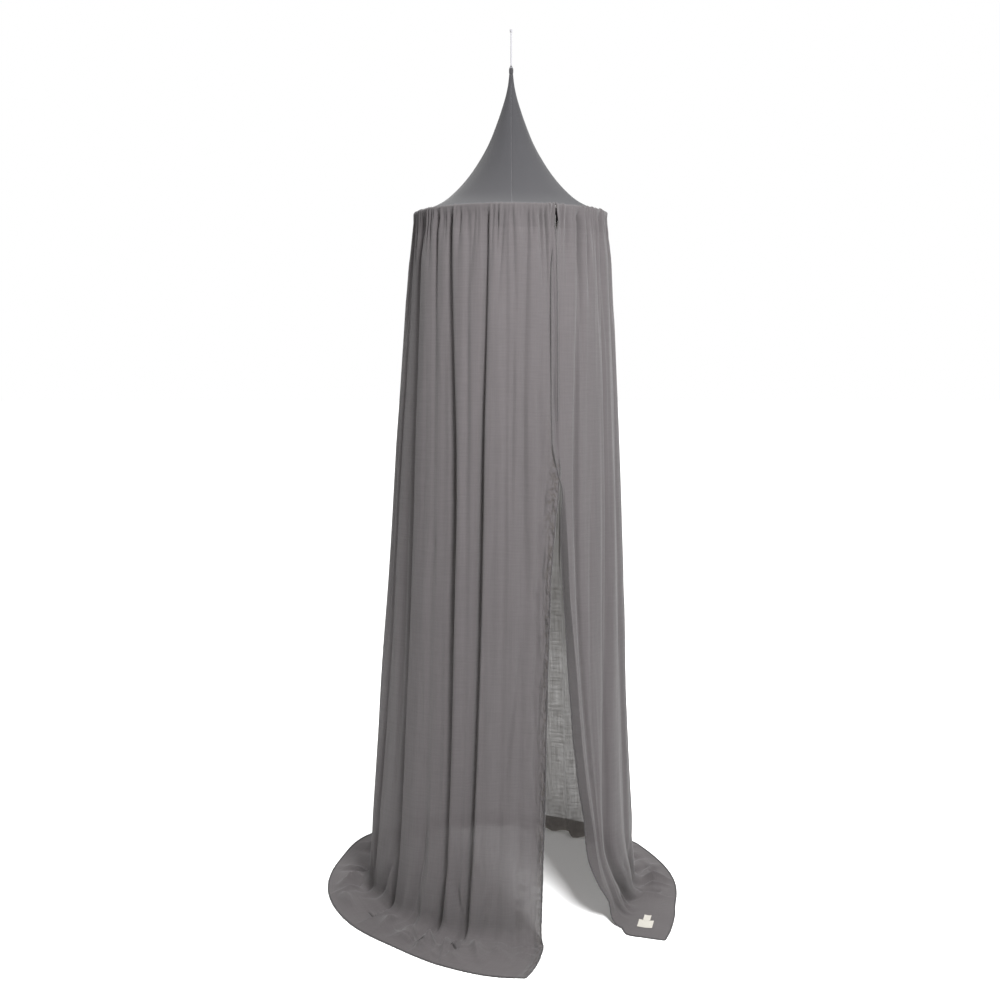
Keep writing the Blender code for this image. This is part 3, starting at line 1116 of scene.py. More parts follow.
@dataclass
class Hoop:
    """The plain tube that spreads the canopy, its ends joined by a sleeve at the back."""

    tube_radius: float = 4.0 * MM
    sleeve_radius: float = 4.7 * MM
    sleeve_length: float = 0.046
    segments: int = 180
    sides: int = 16
    sleeve_rings: int = 14
    finish: DrawnPlastic = DrawnPlastic("drawn_plastic", (0.300, 0.290, 0.287))

    def build(self) -> list[bpy.types.Object]:
        """Makes the ring and its sleeve.

        Returns:
            The ring and the sleeve.
        """
        made = self.finish.material()
        turns = np.arange(self.segments) * 360.0 / self.segments
        line = at_turn(turns, np.full(self.segments, HOOP_RADIUS), HOOP_HEIGHT)
        ring = tube("hoop_ring", line, self.tube_radius, self.sides, ring=True)
        settle(ring, Slot.HOOP, made, "hoop")
        reach = math.degrees(self.sleeve_length / 2 / HOOP_RADIUS)
        turns = np.linspace(180.0 - reach, 180.0 + reach, self.sleeve_rings)
        radii = np.full(self.sleeve_rings, self.sleeve_radius)
        radii[0] = radii[-1] = self.tube_radius + 0.1 * MM
        line = at_turn(turns, np.full(self.sleeve_rings, HOOP_RADIUS), HOOP_HEIGHT)
        sleeve = tube("hoop_sleeve", line, radii, self.sides)
        settle(sleeve, Slot.HOOP, made)
        return [ring, sleeve]


# ---------------------------------------------------------------------------------------------
# Curtain


class Edge(NamedTuple):
    """Turns of the sheet's two front edges at one way, and of the crest beside the right one."""

    way: float
    left: float
    crest: float
    right: float


EDGES = (
    Edge(0.000, -24.4, 330.0, 335.0),
    Edge(0.010, -24.2, 330.2, 334.9),
    Edge(0.016, -23.7, 330.4, 334.1),
    Edge(0.027, -23.8, 330.8, 334.3),
    Edge(0.036, -24.6, 331.4, 336.0),
    Edge(0.10, -24.9, 333.0, 338.4),
    Edge(0.30, -24.7, 333.4, 339.0),
    Edge(0.345, -25.0, 332.7, 336.4),
    Edge(0.370, -24.1, 332.3, 333.5),
    Edge(0.43, -21.6, 332.0, 332.8),
    Edge(0.50, -19.4, 331.5, 331.8),
    Edge(0.56, -18.4, 330.0, 330.7),
    Edge(0.62, -17.6, 328.2, 329.6),
    Edge(0.70, -16.8, 326.2, 327.6),
    Edge(0.78, -16.0, 323.3, 324.6),
    Edge(0.83, -15.4, 320.7, 321.6),
    Edge(0.88, -14.8, 318.0, 320.4),
    Edge(0.92, -14.3, 315.0, 316.6),
    Edge(0.96, -13.8, 306.6, 310.0),
    Edge(1.00, -13.0, 306.6, 311.0),
    Edge(1.08, -12.3, 307.6, 312.2),
    Edge(1.22, -11.0, 309.0, 313.8),
    Edge(1.60, -7.6, 306.3, 311.3),
    Edge(2.00, -3.8, 303.9, 308.9),
)


class Station(NamedTuple):
    """Where the curtain meets the floor and its hem, the size of the bend, and the puff outside it."""

    turn: float
    foot: float
    hem: float
    bend_mm: float
    puff_mm: float


STATIONS = (
    Station(-13, 0.310, 0.489, 36, 0),
    Station(2, 0.320, 0.483, 48, 8),
    Station(20, 0.332, 0.461, 50, 16),
    Station(40, 0.338, 0.444, 48, 18),
    Station(62, 0.352, 0.464, 44, 17),
    Station(88, 0.386, 0.493, 40, 16),
    Station(110, 0.395, 0.512, 42, 14),
    Station(128, 0.406, 0.540, 42, 13),
    Station(150, 0.412, 0.528, 40, 11),
    Station(180, 0.395, 0.505, 40, 11),
    Station(203, 0.376, 0.490, 40, 11),
    Station(228, 0.364, 0.468, 42, 12),
    Station(250, 0.350, 0.452, 46, 14),
    Station(270, 0.341, 0.449, 46, 13),
    Station(283, 0.335, 0.446, 44, 4),
    Station(294, 0.335, 0.459, 40, 0),
    Station(311, 0.333, 0.492, 38, 0),
)


class Fold(NamedTuple):
    """A main fold: its turns down the wall, and its depth and half width in millimetres.

    Steep is how square its trough is, from 2.2, soft, to 5, flat-bottomed. Right_share is the half
    width's share on the side of smaller turns. Ramp is how many degrees its other side takes to rise
    gently to the next crest. Lean_mm is how far the crest on the side of smaller turns hangs over the
    trough, or below 0 the other crest.
    """

    hoop: float
    middle: float
    low: float
    floor: float
    deep_hoop: float
    deep_middle: float
    deep_floor: float
    half_hoop: float
    half_middle: float
    half_floor: float
    steep: float = 2.6
    right_share: float = 1.0
    lean_mm: float = 0.0
    ramp: float = 0.0


FOLDS = (
    Fold(-16.0, -13.2, -9.8, -8.2, 3, 4, 4, 8, 9, 12),
    Fold(-6.9, -5.2, -3.2, -1.5, 5, 9, 8, 8, 14, 18, 2.4),
    Fold(3.0, 3.6, 6.0, 8.0, 4, 6, 6, 8, 13, 16, 2.6, 0.8, 0.0, 6),
    Fold(13.9, 15.3, 18.6, 21.0, 9, 34, 30, 7, 17, 20, 3.8, 0.65, 7.0, 12),
    Fold(24.5, 22.6, 24.4, 27.0, 6, 5, 8, 8, 9, 14),
    Fold(36.0, 30.2, 31.0, 34.0, 10, 38, 28, 8, 20, 22, 3.6, 0.70, 4.0, 22),
    Fold(47.5, 43.0, 43.5, 47.0, 6, 5, 14, 8, 12, 18),
    Fold(60.6, 57.3, 58.0, 62.0, 9, 42, 35, 9, 24, 28, 4.0, 0.45, 12.0, 18),
    Fold(74.0, 75.5, 79.0, 83.0, 7, 12, 16, 9, 16, 20, 2.6, 0.8, 3.0),
    Fold(88.5, 92.5, 96.0, 101.0, 6, 21, 20, 9, 17, 22, 3.0, 0.6, 5.0, 13),
    Fold(103.5, 108.0, 111.0, 117.0, 7, 10, 12, 9, 15, 20),
    Fold(119.0, 123.0, 126.0, 133.0, 8, 26, 22, 9, 18, 22, 3.2, 0.6, 6.0, 13),
    Fold(134.5, 137.5, 140.0, 148.0, 6, 11, 14, 9, 14, 20, 2.6, 1.0, -2.0),
    Fold(149.5, 151.5, 154.0, 162.0, 8, 20, 18, 9, 17, 22, 3.2, 0.9, -5.0),
    Fold(165.0, 166.5, 168.5, 177.0, 7, 10, 12, 9, 15, 20),
    Fold(181.0, 182.0, 183.0, 189.0, 8, 26, 22, 9, 18, 24, 3.4, 0.6, 7.0, 13),
    Fold(196.0, 196.0, 196.5, 200.5, 6, 11, 12, 9, 15, 20),
    Fold(211.5, 210.5, 209.5, 211.5, 8, 21, 18, 9, 17, 22, 3.0, 0.8, 4.0, 10),
    Fold(226.0, 225.0, 223.0, 222.5, 7, 10, 12, 9, 15, 20, 2.6, 1.0, -3.0),
    Fold(241.5, 239.5, 238.0, 234.0, 8, 26, 22, 9, 18, 24, 3.4, 0.6, 7.0, 13),
    Fold(256.5, 255.0, 253.5, 245.5, 6, 10, 12, 9, 15, 20),
    Fold(271.5, 271.0, 270.5, 257.5, 8, 18, 18, 9, 17, 22, 2.8, 0.9, -4.0),
    Fold(286.0, 287.5, 291.0, 270.0, 6, 9, 12, 9, 15, 20),
    Fold(299.2, 302.5, 309.5, 284.0, 8, 19, 24, 9, 18, 24, 3.0, 0.8, -3.0),
    Fold(319.3, 326.0, 317.0, 299.0, 8, 13, 4, 8, 10, 14, 3.0, 0.7, 3.0),
)
FOLD_TURN_WAYS = (0.03, 0.45, 0.86, 1.00)
FOLD_SIZE_WAYS = (0.05, 0.45, 1.00)


class Furrow(NamedTuple):
    """A short fold between the main ones, or a gather under the hoop, from one place to another.

    Turns are where it starts and ends, and ways how far down. A negative depth is a ridge.
    """

    start_turn: float
    end_turn: float
    start: float
    end: float
    deep_mm: float
    half_mm: float


FRONT_FURROWS = (
    Furrow(-21.4, -22.9, 0.030, 0.34, 9.0, 4.2),
    Furrow(-18.5, -20.4, 0.000, 0.21, 8.5, 4.2),
    Furrow(-15.2, -17.3, 0.000, 0.14, 7.0, 4.2),
    Furrow(-11.3, -12.0, 0.000, 0.06, 4.5, 3.6),
    Furrow(-8.9, -6.2, 0.000, 0.26, 6.0, 4.8),
    Furrow(-4.2, -5.4, 0.000, 0.05, 5.5, 3.8),
    Furrow(-0.3, -2.7, 0.000, 0.20, 5.5, 4.4),
    Furrow(4.4, 7.9, 0.000, 0.15, 7.5, 4.4),
    Furrow(8.0, 8.6, 0.000, 0.06, 5.0, 3.6),
    Furrow(10.6, 11.8, 0.000, 0.10, 6.0, 4.0),
    Furrow(14.0, 13.0, 0.000, 0.26, 8.0, 4.8),
    Furrow(17.3, 17.0, 0.000, 0.05, 4.5, 3.6),
    Furrow(21.2, 23.0, 0.000, 0.12, 7.5, 4.2),
    Furrow(26.0, 25.6, 0.000, 0.06, 7.5, 4.0),
    Furrow(30.6, 29.3, 0.000, 0.11, 5.0, 4.2),
    Furrow(37.0, 35.2, 0.000, 0.28, 9.0, 5.0),
    Furrow(41.4, 42.0, 0.000, 0.06, 5.0, 3.8),
    Furrow(47.4, 45.8, 0.000, 0.12, 6.0, 4.2),
    Furrow(53.0, 51.0, 0.000, 0.10, 6.0, 4.2),
    Furrow(57.8, 57.0, 0.000, 0.07, 5.0, 3.8),
    Furrow(64.0, 62.0, 0.000, 0.24, 8.5, 5.0),
    Furrow(70.0, 69.0, 0.000, 0.10, 6.0, 4.2),
    Furrow(288.4, 287.6, 0.000, 0.22, 7.0, 5.0),
    Furrow(293.2, 292.6, 0.000, 0.06, 5.0, 3.8),
    Furrow(297.8, 296.4, 0.000, 0.22, 12.0, 4.4),
    Furrow(304.0, 305.5, 0.000, 0.20, 12.0, 4.2),
    Furrow(308.8, 309.6, 0.000, 0.09, 5.0, 4.0),
    Furrow(313.4, 314.6, 0.000, 0.15, 12.0, 3.6),
    Furrow(319.0, 321.0, 0.000, 0.30, 14.0, 4.0),
    Furrow(323.4, 323.8, 0.000, 0.05, 6.0, 3.6),
    Furrow(327.2, 328.4, 0.000, 0.12, 10.0, 3.6),
    Furrow(331.9, 332.6, 0.000, 0.05, 6.5, 3.6),
    Furrow(334.6, 335.2, 0.100, 0.34, 5.5, 5.0),
    Furrow(-1.0, 0.6, 0.160, 0.42, 3.0, 6.0),
    Furrow(-6.2, -7.4, 0.200, 0.62, 4.0, 9.0),
    Furrow(8.4, 9.4, 0.220, 0.66, 2.6, 7.0),
    Furrow(24.6, 24.0, 0.130, 0.60, 2.4, 7.0),
    Furrow(39.4, 38.0, 0.130, 0.55, 3.0, 8.0),
    Furrow(50.8, 48.5, 0.160, 0.52, 3.0, 7.0),
    Furrow(48.0, 47.4, 0.560, 0.96, 3.0, 8.0),
    Furrow(36.6, 38.4, 0.540, 0.95, 3.4, 8.0),
    Furrow(67.0, 66.5, 0.300, 0.90, 4.0, 8.0),
    Furrow(-4.4, 4.8, 0.560, 0.80, 3.6, 8.0),
    Furrow(12.0, 13.2, 0.500, 0.96, 2.4, 7.0),
    Furrow(1.0, 2.6, 0.480, 0.88, 2.0, 7.0),
    Furrow(307.6, 310.8, 0.250, 0.80, 2.6, 6.0),
    Furrow(314.2, 318.0, 0.300, 0.74, 2.2, 5.5),
    Furrow(296.0, 300.0, 0.140, 0.52, 2.6, 6.0),
    Furrow(287.8, 289.6, 0.260, 0.92, 4.0, 8.0),
    # Short slanting folds where the wall comes down on the floor.
    Furrow(29.2, 37.0, 0.880, 1.00, 7.0, 6.0),
    Furrow(28.4, 19.6, 0.885, 1.00, 6.5, 6.0),
    Furrow(28.0, 27.2, 0.890, 1.00, -6.0, 13.0),
    Furrow(44.0, 51.5, 0.850, 1.00, 7.0, 6.5),
    Furrow(47.0, 43.0, 0.870, 1.00, -4.0, 11.0),
    Furrow(64.0, 77.0, 0.890, 1.00, 8.0, 7.0),
    Furrow(68.0, 66.0, 0.900, 1.00, -4.0, 12.0),
    Furrow(9.0, 15.0, 0.910, 1.00, 5.0, 6.5),
    Furrow(88.0, 84.0, 0.880, 1.00, 5.0, 8.0),
    Furrow(290.0, 298.0, 0.900, 1.00, 6.0, 7.0),
    Furrow(282.0, 276.0, 0.890, 1.00, 5.0, 8.0),
)


class GatherRun(NamedTuple):
    """A run of uneven gathers under the hoop, which a seeded draw places between two turns.

    Reach is how far down they go, at least and at most beyond that. Drift is how far they wander.
    """

    first: float
    last: float
    reach: tuple[float, float]
    drift: float
    deep_mm: tuple[float, float]
    half_mm: tuple[float, float]
    step: tuple[float, float]


GATHER_RUNS = (
    GatherRun(74.0, 285.0, (0.05, 0.22), 1.2, (8.0, 14.0), (3.2, 4.6), (3.2, 6.0)),
    GatherRun(-23.0, 334.0, (0.018, 0.06), 0.7, (4.0, 9.0), (2.0, 3.0), (1.8, 3.6)),
)


class Dent(NamedTuple):
    """A small dent in the wall: its turn and way, depth, and half sizes."""

    turn: float
    way: float
    deep_mm: float
    wide_mm: float
    tall_mm: float


DENTS = (
    Dent(43.0, 0.450, 4.0, 10, 16),
    Dent(44.6, 0.437, -2.5, 7, 22),
    Dent(32.5, 0.525, 3.0, 10, 18),
    Dent(-13.6, 0.250, 3.0, 6, 40),
    Dent(-15.6, 0.310, 4.0, 7, 36),
    Dent(-16.4, 0.385, 4.0, 7, 44),
    Dent(-14.8, 0.470, 4.0, 8, 34),
    Dent(-11.8, 0.512, 5.5, 9, 15),
    Dent(-13.8, 0.545, -4.0, 8, 26),
    Dent(-10.2, 0.650, 5.0, 7, 26),
    Dent(-12.2, 0.668, -3.0, 6, 24),
    Dent(-7.4, 0.705, 4.0, 8, 20),
    Dent(-10.8, 0.745, 3.5, 7, 30),
    Dent(-8.4, 0.790, 3.5, 9, 20),
    Dent(118.0, 0.35, 4.0, 14, 30),
    Dent(212.0, 0.52, 4.0, 14, 24),
    Dent(262.0, 0.30, 3.5, 12, 26),
)


class Crease(NamedTuple):
    """A crease in the cloth on the floor, from one point to another, seen from above.

    High is how far it stands up, or below 0 how deep a slot it is. Left and right are its half
    widths on the left and on the right of the line.
    """

    x0: float
    y0: float
    x1: float
    y1: float
    high_mm: float
    left_mm: float
    right_mm: float


CREASES = (
    # By the left foot, where two folds meet in a pit.
    Crease(-0.462, 0.100, -0.376, 0.070, 9, 18, 6),
    Crease(-0.455, -0.010, -0.372, 0.034, 15, 12, 7),
    Crease(-0.420, -0.024, -0.366, 0.014, -16, 6, 7),
    Crease(-0.465, -0.052, -0.360, -0.030, 12, 8, 20),
    Crease(-0.452, -0.050, -0.410, -0.140, 8, 8, 18),
    Crease(-0.372, -0.100, -0.292, -0.216, 13, 18, 7),
    Crease(-0.286, -0.132, -0.262, -0.216, -14, 6, 6),
    Crease(-0.268, -0.200, -0.330, -0.262, 11, 7, 16),
    # In front, between the main folds.
    Crease(-0.262, -0.214, -0.232, -0.318, 15, 8, 20),
    Crease(-0.216, -0.258, -0.250, -0.350, -13, 6, 9),
    Crease(-0.205, -0.262, -0.196, -0.372, 16, 8, 22),
    Crease(-0.272, -0.296, -0.172, -0.396, 8, 16, 7),
    Crease(-0.152, -0.290, -0.170, -0.392, 14, 20, 7),
    Crease(-0.112, -0.266, -0.104, -0.326, -18, 6, 7),
    Crease(-0.110, -0.296, -0.152, -0.372, 15, 7, 14),
    Crease(-0.104, -0.312, -0.020, -0.356, 12, 18, 6),
    Crease(-0.100, -0.318, -0.078, -0.412, 11, 16, 8),
    Crease(-0.176, -0.350, -0.116, -0.426, 7, 10, 12),
    Crease(-0.066, -0.330, 0.006, -0.424, 5, 16, 12),
    Crease(0.004, -0.330, 0.052, -0.332, 5, 6, 8),
    Crease(0.010, -0.352, 0.058, -0.360, 6, 6, 9),
    Crease(0.016, -0.380, 0.056, -0.392, 5, 6, 8),
    # By the right foot.
    Crease(0.296, -0.038, 0.398, -0.046, -16, 6, 6),
    Crease(0.282, -0.062, 0.394, -0.070, 10, 7, 20),
    Crease(0.352, 0.016, 0.436, 0.030, 12, 9, 9),
    Crease(0.345, -0.020, 0.430, -0.010, 9, 8, 6),
    Crease(0.360, 0.050, 0.420, 0.120, 8, 12, 8),
    # Behind.
    Crease(-0.330, 0.200, -0.430, 0.275, 10, 16, 8),
    Crease(-0.300, 0.240, -0.352, 0.330, -9, 6, 7),
    Crease(-0.215, 0.330, -0.270, 0.445, 11, 8, 18),
    Crease(-0.060, 0.390, -0.085, 0.495, 10, 9, 16),
    Crease(0.020, 0.400, 0.016, 0.470, -8, 6, 6),
    Crease(0.090, 0.375, 0.110, 0.480, 10, 18, 8),
    Crease(0.235, 0.275, 0.290, 0.370, 10, 8, 16),
    Crease(0.300, 0.200, 0.372, 0.262, 8, 10, 10),
)


# Unevenness of the hanging cloth, coarse to fine, and of the cloth that lies on the floor.
SOFT, MIDDLING, FINE = (
    Ripple(2.4, 0.062, 0.60, 0.0, 3.0),
    Ripple(1.5, 0.028, 0.34, 50.0, 20.0),
    Ripple(0.8, 0.014, 0.17, 0.0, 9.0),
)
CRINKLES = (Ripple(3.0, 0.020, 0.038, 0.0, 0.0), Ripple(3.2, 0.034, 0.075, 40.0, 0.0))
LYING = (Ripple(1.6, 0.055, 1 / 2.2, 0.0, 5.0), Ripple(0.9, 0.024, 1 / 5.0, 30.0, 0.0))


def about_radius(way: float) -> float:
    """The wall's radius at this way, near enough to turn widths into degrees."""
    return 0.25 + 0.10 * way


class CurtainRows(NamedTuple):
    """The sheet's points row by row from the seam to the hem, with their places on the cut."""

    points: np.ndarray
    flat: np.ndarray


@dataclass
class Curtain:
    """The one wide muslin sheet: gathered round the hoop, open in front, its hem on the floor.

    Its columns are front_density times closer in front, over front_share of the cut from its left
    edge and front_share_right from its right one. From curl_share on they belong to the right edge's
    own roll. Pleat_limit is how deep a pleat may be in the seam, so that the hoop stays covered, and
    it grows by pleat_growth below seam_height. Curl_ways are where the roll begins, is full, lets go
    and is flat, and tuck_ways the same of the right edge's tuck behind the left one.
    """

    cut_width: float = 2.70
    cut_length: float = 1.97
    columns: int = 720
    front_share: float = 0.27
    front_share_right: float = 0.17
    front_density: float = 2.6
    wall_rows: int = 97
    wall_row_crowding: float = 1.12
    wrap_rows: int = 6
    bend_rows: int = 11
    skirt_rows: int = 25
    wrap_radius: float = 7.5 * MM
    gather_bulge: float = 3.5 * MM
    wall_bow: float = 0.9
    half_width_limit: float = 0.42
    ramp_share: float = 0.62
    pleat_limit: float = 5.8 * MM
    pleat_growth: float = 1.5
    seam_height: float = 8 * MM
    furrow_strength: float = 1.7
    edge_drift_reach: float = 80.0
    bend_way: float = 0.96
    curl_share: float = 0.986
    curl_depth: float = 26 * MM
    curl_ways: tuple[float, float, float, float] = (0.36, 0.44, 0.86, 0.95)
    tuck_depth: float = 7 * MM
    tuck_ways: tuple[float, float, float, float] = (0.01, 0.06, 0.36, 0.47)
    tuck_shares: tuple[float, float] = (0.955, 0.975)
    crinkle_left: float = 0.040
    crinkle_right: float = 0.018
    crease_strength: float = 1.9
    hem_radius: float = 1.75 * MM
    hem_above_floor: float = 2.4 * MM
    hem_wander: float = 0.22 * MM
    hem_unevenness: float = 0.12 * MM
    overlock_pitch: float = 3.6 * MM
    overlock_reach: float = 1.95 * MM
    overlock_radius: float = 0.36 * MM
    topstitch_pitch: float = 3.8 * MM
    topstitch_radius: float = 0.32 * MM
    seed: int = 7
    cloth: Muslin = Muslin("soft_muslin", (0.0735, 0.0668, 0.0694), (0.135, 0.124, 0.108))
    hem_cloth: Yarn = Yarn("rolled_hem_cloth", (0.042, 0.039, 0.0395), 0.18, 500.0)
    hem_thread: Yarn = Yarn("overlock_thread", (0.036, 0.034, 0.035), 0.25, 1500.0)
    seam_thread: Yarn = Yarn("seam_thread", (0.085, 0.082, 0.084), 0.2, 1500.0)

    def build(self) -> bpy.types.Object:
        """Makes the sheet with its hem, its overlocking and the stitches of its seam.

        Returns:
            The sheet.
        """
        rows = self.rows()
        faces = grid_faces(*rows.points.shape[:2])
        sheet = new_piece("canopy_curtain", rows.points, faces, rows.flat)
        settle(sheet, Slot.CURTAIN, self.cloth.material(), "curtain")
        hem = self.hem(rows.points)
        seam = self.seam_stitches(rows.points)
        settle(hem[0], Slot.CURTAIN, self.hem_cloth.material())
        settle(hem[1], Slot.CURTAIN, self.hem_thread.material())
        settle(seam, Slot.CURTAIN, self.seam_thread.material())
        return sheet

    # Where columns and folds lie

    @cached_property
    def share(self) -> np.ndarray:
        """Each column's place across the cut, 0 to 1: closer together in front than behind.

        Returns:
            The places, growing.
        """
        even = np.linspace(0.0, 1.0, 2001)
        from_edge = np.minimum(even, (1.0 - even) * self.front_share / self.front_share_right)
        near = 1.0 - smooth_step(from_edge, self.front_share - 0.02, self.front_share + 0.02)
        close = np.cumsum(1.0 + (self.front_density - 1.0) * near)
        counted = (close - close[0]) / (close[-1] - close[0])
        return np.interp(np.linspace(0.0, 1.0, self.columns), counted, even)

    def edge_turns(self, way: float) -> tuple[float, float, float]:
        """The turns of the left front edge, the right one's crest and the right edge at this way.

        Args:
            way: How far down the wall or out over the floor, 0 to 2.

        Returns:
            The three turns, in degrees.
        """
        ways, *sides = zip(*EDGES)
        left, crest, right = (float(curve_through(way, ways, side)) for side in sides)
        return left, crest, right

    def fold_turns(self, way: float) -> np.ndarray:
        """Where each main fold lies. On the floor it drifts with the nearer front edge.

        Args:
            way: How far down the wall or out over the floor, 0 to 2.

        Returns:
            Each fold's turn, in degrees.
        """
        turns = np.array(
            [curve_through(way, FOLD_TURN_WAYS, (f.hoop, f.middle, f.low, f.floor)) for f in FOLDS]
        )
        if way <= 1.0:
            return turns
        (left_foot, _, right_foot), (left, _, right) = self.edge_turns(1.0), self.edge_turns(way)
        near_left = np.maximum(0.0, 1.0 - (turns - left_foot) / self.edge_drift_reach)
        near_right = np.maximum(0.0, 1.0 - (right_foot - turns) / self.edge_drift_reach)
        return turns + near_left * (left - left_foot) + near_right * (right - right_foot)

    def column_turns(self, way: float) -> np.ndarray:
        """The turn of each of the sheet's columns, which keep their places between the folds."""
        return curve_through(self.share, self.home, self.knots(way))

    def curled(self, way: float) -> float:
        """How far the right edge is rolled inward, 0 to 1, which it is beside the open doorway."""
        return ease(way, *self.curl_ways[:2]) * (1.0 - ease(way, *self.curl_ways[2:]))

    def knots(self, way: float) -> np.ndarray:
        """Turns of the left edge, the main folds, the right edge's crest and the right edge."""
        left, crest, right = self.edge_turns(way)
        return np.concatenate(([left], self.fold_turns(way), [crest, right]))

    @cached_property
    def home(self) -> np.ndarray:
        """The knots' places across the cut, 0 to 1.

        Returns:
            The places, growing.
        """
        turns = self.knots(0.3)
        places = (turns - turns[0]) / (turns[-2] - turns[0]) * self.curl_share
        places[-1] = 1.0
        return places

    # Depths

    def fold_depths(self, turns: np.ndarray, way: float) -> tuple[np.ndarray, np.ndarray]:
        """How deep the main folds are and how far they lean, in metres, at these turns.

        Args:
            turns: The columns' turns, in degrees.
            way: How far down the wall or out over the floor, 0 to 2.

        Returns:
            The depth and the lean of each column.
        """
        centres = self.fold_turns(way)
        ends = np.concatenate(([turns[0]], centres, [turns[-1]]))
        depth = np.zeros_like(turns)
        lean = np.zeros_like(turns)
        floor_share = (2.0 - max(way, 1.0)) ** 1.4
        grown = ease(way, 0.05, 0.35) * floor_share
        for i, fold in enumerate(FOLDS):
            deep = curve_through(way, FOLD_SIZE_WAYS, (fold.deep_hoop, fold.deep_middle, fold.deep_floor))
            half = curve_through(way, FOLD_SIZE_WAYS, (fold.half_hoop, fold.half_middle, fold.half_floor))
            half = math.degrees(float(half) * MM / about_radius(way))
            right = min(half, self.half_width_limit * (ends[i + 1] - ends[i])) * fold.right_share
            left = min(half, self.half_width_limit * (ends[i + 2] - ends[i + 1]))
            right, left = max(right, 0.2), max(left, 0.2)
            off = turns - centres[i]
            s = np.where(off < 0, off / right, off / left)
            fall = trough(s, fold.steep)
            if fold.ramp:
                gentle = np.clip(1.0 - off / fold.ramp, 0.0, 1.0) ** 1.4
                fall = np.where(off < 0, fall, fall + self.ramp_share * (np.maximum(gentle, fall) - fall))
            depth += float(deep) * MM * floor_share * fall
            from_crest = off / right + 1.7 if fold.lean_mm > 0 else off / left - 1.7
            lean += fold.lean_mm * MM * grown * np.exp(-((from_crest / 1.5) ** 2))
        return depth, lean

    def furrows(self) -> tuple[Furrow, ...]:
        """Gathers and short folds: those listed in front, and uneven ones all round.

        Returns:
            All the furrows.
        """
        rng = np.random.default_rng(self.seed)
        placed = list(FRONT_FURROWS)
        for run in GATHER_RUNS:
            turn = run.first
            while turn < run.last:
                reach = run.reach[0] + run.reach[1] * rng.uniform() ** 2
                end_turn = turn + rng.normal(0.0, run.drift)
                deep, half = rng.uniform(*run.deep_mm), rng.uniform(*run.half_mm)
                placed.append(Furrow(turn, end_turn, 0.0, reach, deep, half))
                turn += rng.uniform(*run.step)
        for even_turn in np.arange(76.0, 284.0, 4.6):
            start = rng.uniform(0.10, 0.60)
            end = min(start + rng.uniform(0.22, 0.55), 0.97)
            turn = even_turn + rng.normal(0.0, 1.5)
            deep = rng.uniform(2.5, 6.0)
            end_turn, half = turn + rng.normal(0.0, 2.0), rng.uniform(6.0, 10.0)
            placed.append(Furrow(turn, end_turn, start, end, deep, half))
        return tuple(placed)

    @cached_property
    def furrow_shares(self) -> list[tuple[float, float, Furrow]]:
        """Each furrow with the places across the cut, 0 to 1, where it starts and ends.

        Returns:
            The two places and the furrow, for each.
        """
        placed = []
        for furrow in self.furrows():
            shares = [
                float(np.interp(turn, self.knots(way), self.home))
                for turn, way in ((furrow.start_turn, furrow.start), (furrow.end_turn, furrow.end))
            ]
            placed.append((shares[0], shares[1], furrow))
        return placed

    def furrow_depths(self, share: np.ndarray, way: float) -> np.ndarray:
        """How deep the furrows are at this way, in metres, across the cut.

        Args:
            share: The columns' places across the cut, 0 to 1.
            way: How far down the wall or out over the floor, 0 to 2.

        Returns:
            The depth at each column.
        """
        depth = np.zeros_like(share)
        girth = math.tau * about_radius(way)
        for first, last, furrow in self.furrow_shares:
            if not furrow.start <= way < furrow.end:
                continue
            along = (way - furrow.start) / (furrow.end - furrow.start)
            if furrow.start > 0:
                strength = math.sin(math.pi * along) ** 0.8
            else:
                strength = (1.0 - along) ** 1.2
            off = (share - first - (last - first) * along) * girth / (furrow.half_mm * MM)
            if furrow.start > 0:
                fall = trough(off / (1.0 + 0.5 * along), 2.4)
            else:
                fall = np.exp(-(np.abs(off / (1.0 + 1.3 * along)) ** 1.3))
            depth += self.furrow_strength * furrow.deep_mm * MM * strength * fall
        return depth

    def dents(self, turns: np.ndarray, way: float) -> np.ndarray:
        """How deep the small dents are at these turns, in metres.

        Args:
            turns: The columns' turns, in degrees.
            way: How far down the wall or out over the floor, 0 to 2.

        Returns:
            The depth at each column.
        """
        depth = np.zeros_like(turns)
        for dent in DENTS:
            across = np.radians(turns - dent.turn) * about_radius(way) / (dent.wide_mm * MM)
            down = (way - dent.way) * HOOP_HEIGHT / (dent.tall_mm * MM)
            depth += dent.deep_mm * MM * np.exp(-(across**2) - down**2)
        return depth

    def ripples(self, share: np.ndarray, way: float) -> np.ndarray:
        """Soft unevenness of hanging cloth, and the crinkles beside its sewn edges, in metres.

        Args:
            share: The columns' places across the cut, 0 to 1.
            way: How far down the wall or out over the floor, 0 to 2.

        Returns:
            The depth at each column.
        """
        u = share * self.cut_width
        v = way * HOOP_HEIGHT
        slow, quick, edge = (SoftNoise(self.seed + i) for i in (1, 2, 3))
        grown = ease(way, 0.02, 0.2)
        coarse = (slow.ripple(SOFT, u, v) + slow.ripple(MIDDLING, u, v)) * grown
        fine = quick.ripple(FINE, u, v) * (0.4 + 0.6 * grown)
        beside_left = np.exp(-((u / self.crinkle_left) ** 2))
        beside_right = np.exp(-(((self.cut_width - u) / self.crinkle_right) ** 2))
        busy = 0.35 + 0.65 * ease(way, 0.20, 0.27) * (1 - ease(way, 0.84, 0.94))
        crinkle = sum(edge.ripple(kind, u, v) for kind in CRINKLES)
        return coarse + fine + crinkle * (beside_left + 0.4 * beside_right) * busy

    # Rows

    def station(self, turns: np.ndarray, name: str) -> np.ndarray:
        """One column of the stations' table, at these turns."""
        return curve_through(turns, [s.turn for s in STATIONS], [getattr(s, name) for s in STATIONS])

